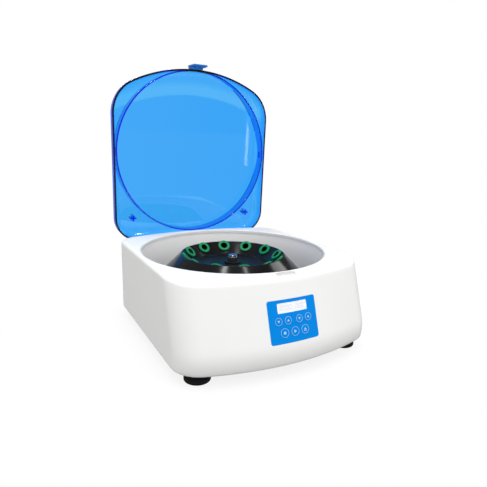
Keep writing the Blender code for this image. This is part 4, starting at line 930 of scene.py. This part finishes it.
hook_outline = rounded_box(2 * HOOK_HALF, HOOK_REACH + HOOK_RISE, HOOK_CORNER,
                           (0, (HOOK_RISE - HOOK_REACH) / 2))
hook_middle = hook_outline.mean(axis=0)
rim_share, flank = 1.0 - HOOK_ROUND / HOOK_HALF, 1 - 2 * HOOK_ROUND / HOOK_THICK
hook_steps = [(0.0, -1), (FLAT_SHARE, -1), (rim_share, -1), (1.0, -flank),
              (1.0, flank), (rim_share, 1), (FLAT_SHARE, 1), (0.0, 1)]
hook_loops = []
for share, side in hook_steps:
    drawn = hook_middle + share * (hook_outline - hook_middle)
    depth = np.full(len(drawn), hook_plane + side * HOOK_THICK / 2)
    hook_loops.append(np.column_stack([drawn[:, 0], depth, LID_BOTTOM + drawn[:, 1]]))
hook = surface("lid_tongue", swing(np.stack(hook_loops)))
carve(hook, swung(block("notch", (HOOK_HALF - NOTCH_DEPTH, hook_plane - HOOK_THICK, bolt_z - NOTCH_HALF),
                        (HOOK_HALF + NOTCH_OPEN, hook_plane + HOOK_THICK, bolt_z + NOTCH_HALF))))
carve(hook, swung(block("root", (-HOOK_HALF + ROOT_INSET, hook_plane, LID_BOTTOM + ROOT_LIFT),
                        (HOOK_HALF - ROOT_INSET, AXIS_Y + LID_FRONT - ROOT_GAP,
                         LID_BOTTOM + HOOK_RISE - ROOT_INSET))), 'UNION')
# Solid coloured polycarbonate is glossy and lets about half of the light in, so it glows a little.
hook_blue = graded_finish("polycarbonate_dark_blue", (0.8, 0.004, (0.08, 0.16), 8), "1A86DC", "2A96EA",
                          IOR=1.58, Transmission_Weight=0.55)
fit(hook, "lid", hook_blue, "lid_hook")
SLOT_SIDE_GAP = 1.8 * MM
SLOT_FACE_GAP = 0.7 * MM
SLOT_DEEP = 9 * MM
SLOT_PROUD = 3 * MM
COLLAR = 1.2 * MM
COLLAR_DROP = (7 * MM, 1.5 * MM)
slot_half, slot_reach = HOOK_HALF + SLOT_SIDE_GAP, HOOK_THICK / 2 + SLOT_FACE_GAP
collar_half, collar_reach = slot_half + COLLAR, slot_reach + COLLAR
carve(housing, block("slot_collar", (-collar_half, hook_plane - collar_reach, DECK - COLLAR_DROP[0]),
                     (collar_half, hook_plane + collar_reach, DECK - COLLAR_DROP[1])), 'UNION')
carve(housing, block("latch_slot", (-slot_half, hook_plane - slot_reach, DECK - SLOT_DEEP),
                     (slot_half, hook_plane + slot_reach, DECK + SLOT_PROUD)))


# Hinge and lock: pressed and turned steel, zinc plated. The arms are screwed inside the lid's rear wall
# and turn on pins in the brackets, and the solenoid's bolt holds the tongue while the rotor runs.
# Zinc plating is a pale grey, half bright and a little cloudy. Moulded polyamide is black with a half gloss.
zinc = graded_finish("steel_zinc_plated", (0.7, 0.006, (0.28, 0.42), 9), "B4B6BA", "C8C9CB", Metallic=1.0)
for side in ("left", "right"):
    coat(zinc, f"hinge_arm_{side}", f"hinge_bracket_{side}", f"hinge_pin_{side}")
coat(zinc, "lock_bolt", "lock_frame")
polyamide = graded_finish("polyamide_black", (0.5, 0.012, (0.36, 0.5), 10), "0F0F10", "19191A")
coat(polyamide, "lock_solenoid", "lid_switch")


# Power entry: a mains inlet with its three pins, and a rocker switch in its own frame. Both are moulded in
# black polyamide and clipped into the back of the housing.
coat(polyamide, "power_inlet", "switch_frame", "power_rocker")
ENTRY_LIP = 2.3 * MM
ENTRY_PROUD = 1 * MM
for name in ("power_inlet", "switch_frame"):
    low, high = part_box(name)
    carve(housing, block("entry", (low.x + ENTRY_LIP, low.y - ENTRY_PROUD, low.z + ENTRY_LIP),
                         (high.x - ENTRY_LIP, high.y + ENTRY_PROUD, high.z - ENTRY_LIP)))


# Stage: a plain white paper floor in a white surround. Two soft lamps light the object, from in front on the
# right and from above. The tubes, the window and the streaks are bright shapes that only glossy faces mirror.
FLOOR_HALF = 6.0
SHADOW_SHARE = 0.16
SHADOW_FADE = (0.16, 0.34)
FLOOR_GLOSS = 0.35
floor_mesh = bpy.data.meshes.new("floor")
floor_corners = [(-FLOOR_HALF, -FLOOR_HALF, 0), (FLOOR_HALF, -FLOOR_HALF, 0), (FLOOR_HALF, FLOOR_HALF, 0),
                 (-FLOOR_HALF, FLOOR_HALF, 0)]
floor_mesh.from_pydata(floor_corners, [], [(0, 1, 2, 3)])
floor = bpy.data.objects.new("floor", floor_mesh)
bpy.context.scene.collection.objects.link(floor)
# Matt paper is seen as plain white with a faint shadow near the object, and is dimmer where faces mirror it.
paper, tree, shader = new_finish("paper_white_matt", Roughness=0.9, Specular_IOR_Level=0.0)
path = add_node(tree, "ShaderNodeLightPath", {}).outputs
two_tone(tree, shader, path["Is Diffuse Ray"], "F4F4F4", "707070")
place = add_node(tree, "ShaderNodeTexCoord", {}).outputs["Object"]
reach = add_node(tree, "ShaderNodeVectorMath", {0: place}, operation='LENGTH')
near = add_node(tree, "ShaderNodeMapRange",
                {"Value": reach.outputs["Value"], "From Min": SHADOW_FADE[0], "From Max": SHADOW_FADE[1],
                 "To Min": 1 - SHADOW_SHARE, "To Max": 1.0}, interpolation_type='SMOOTHSTEP')
seen = add_node(tree, "ShaderNodeMath", {0: path["Is Camera Ray"], 1: near.outputs["Result"]},
                operation='MULTIPLY')
through = add_node(tree, "ShaderNodeMath", {0: path["Is Glossy Ray"], 1: path["Is Transmission Ray"]},
                   operation='MAXIMUM')
share = add_node(tree, "ShaderNodeMath", {0: seen.outputs["Value"], 1: through.outputs["Value"]},
                 operation='MAXIMUM')
reflected = add_node(tree, "ShaderNodeMath", {0: path["Is Glossy Ray"], 1: path["Is Transmission Ray"]},
                     operation='SUBTRACT', use_clamp=True)
strength = add_node(tree, "ShaderNodeMapRange",
                    {"Value": reflected.outputs["Value"], "To Min": 1.0, "To Max": FLOOR_GLOSS})
glow = add_node(tree, "ShaderNodeEmission", {"Color": (1, 1, 1, 1), "Strength": strength.outputs["Result"]})
blend = add_node(tree, "ShaderNodeMixShader",
                 {0: share.outputs["Value"], 1: shader.outputs["BSDF"], 2: glow.outputs["Emission"]})
tree.links.new(blend.outputs["Shader"], tree.nodes["Material Output"].inputs["Surface"])
floor_mesh.materials.append(paper)

world = bpy.data.worlds.new("studio")
bpy.context.scene.world = world
world.use_nodes = True
tree = world.node_tree
SKY_BACK = 0.84
SKY_FRONT = 1.36
SKY_WAY = (-0.75, -0.45, 0.45)
ROOM_FRONT = 0.34
ROOM_RIGHT = 0.08
ROOM_FADE = (0.15, 0.55)
path = add_node(tree, "ShaderNodeLightPath", {}).outputs
clear = add_node(tree, "ShaderNodeMath", {0: path["Is Camera Ray"], 1: path["Is Transmission Ray"]},
                 operation='MAXIMUM')
way = add_node(tree, "ShaderNodeTexCoord", {}).outputs["Generated"]
facing = add_node(tree, "ShaderNodeVectorMath", {0: way, 1: SKY_WAY}, operation='DOT_PRODUCT')
sky = add_node(tree, "ShaderNodeMapRange",
               {"Value": facing.outputs["Value"], "From Min": -1.0, "From Max": 1.0,
                "To Min": SKY_BACK, "To Max": SKY_FRONT})
sideways = add_node(tree, "ShaderNodeSeparateXYZ", {"Vector": way}).outputs["X"]
# The room around the paper is dim, and dimmer on the right, so glossy faces mirror little of it.
room = add_node(tree, "ShaderNodeMapRange",
                {"Value": sideways, "From Min": ROOM_FADE[0], "From Max": ROOM_FADE[1],
                 "To Min": ROOM_FRONT, "To Max": ROOM_RIGHT})
gloss = add_node(tree, "ShaderNodeMix",
                 {0: path["Is Glossy Ray"], 2: sky.outputs["Result"], 3: room.outputs["Result"]})
level = add_node(tree, "ShaderNodeMix", {0: clear.outputs["Value"], 2: gloss.outputs[0], 3: 1.0})
surround = tree.nodes["Background"]
surround.inputs["Color"].default_value = (1, 1, 1, 1)
tree.links.new(level.outputs[0], surround.inputs["Strength"])


def lamp(name, place, target, size, power, mirrored):
    """Rectangular lamp at a place, turned towards a target. It lights the scene or is only mirrored in it."""
    light = bpy.data.lights.new(name, 'AREA')
    light.shape = 'RECTANGLE'
    light.size, light.size_y = size
    light.energy = power
    holder = bpy.data.objects.new(name, light)
    aim = Vector(place) - Vector(target)
    holder.matrix_world = Matrix.Translation(place) @ aim.to_track_quat('Z', 'Y').to_matrix().to_4x4()
    holder.visible_glossy = mirrored
    holder.visible_diffuse = not mirrored
    bpy.context.scene.collection.objects.link(holder)


MIDDLE = (0, 0, 0.1)
TUBE_HEIGHT = 1.2
TUBE_LENGTH = 0.6
TUBE_GLOW = 60
STREAK_SIZE = (0.012, 0.27)
STREAK_AIM = (0.125, AXIS_Y + 0.16, 0.27)
lamp("key", (0.9, -1.5, 1.2), MIDDLE, (0.9, 0.9), 5, False)
lamp("top", (0.0, -0.1, 1.4), MIDDLE, (1.1, 1.1), 5, False)
for x, y, width in ((-0.44, -0.25, 0.11), (0.21, -0.54, 0.05)):
    lamp("tube", (x, y, TUBE_HEIGHT), MIDDLE, (width, TUBE_LENGTH), TUBE_GLOW * width, True)
lamp("window", (1.1, 0.0, 0.77), MIDDLE, (0.42, 0.5), 4.2, True)
for x, power in ((0.70, 0.035), (0.76, 0.018)):
    lamp("streak", (x, -0.88, 0.245), STREAK_AIM, STREAK_SIZE, power, True)

# Camera: solved from the round edges of bowl and rotor. It stands low in front, left of the middle.
VIEW_PLACE = (-0.30677, -0.58733 + AXIS_Y, 0.28472)
VIEW_RIGHT = (0.8776, -0.4786, 0.0276)
VIEW_UP = (0.0829, 0.2080, 0.9746)
VIEW_BACK = (-0.4722, -0.8530, 0.2222)
SENSOR_WIDTH = 36
FOCAL_LENGTH = 32.46
camera = bpy.data.objects.new("camera", bpy.data.cameras.new("camera"))
camera.data.sensor_width = SENSOR_WIDTH
camera.data.lens = FOCAL_LENGTH
placing = Matrix((VIEW_RIGHT, VIEW_UP, VIEW_BACK)).transposed().to_4x4()
placing.translation = VIEW_PLACE
camera.matrix_world = placing
bpy.context.scene.collection.objects.link(camera)
bpy.context.scene.camera = camera
bpy.context.scene.view_settings.view_transform = 'Standard'
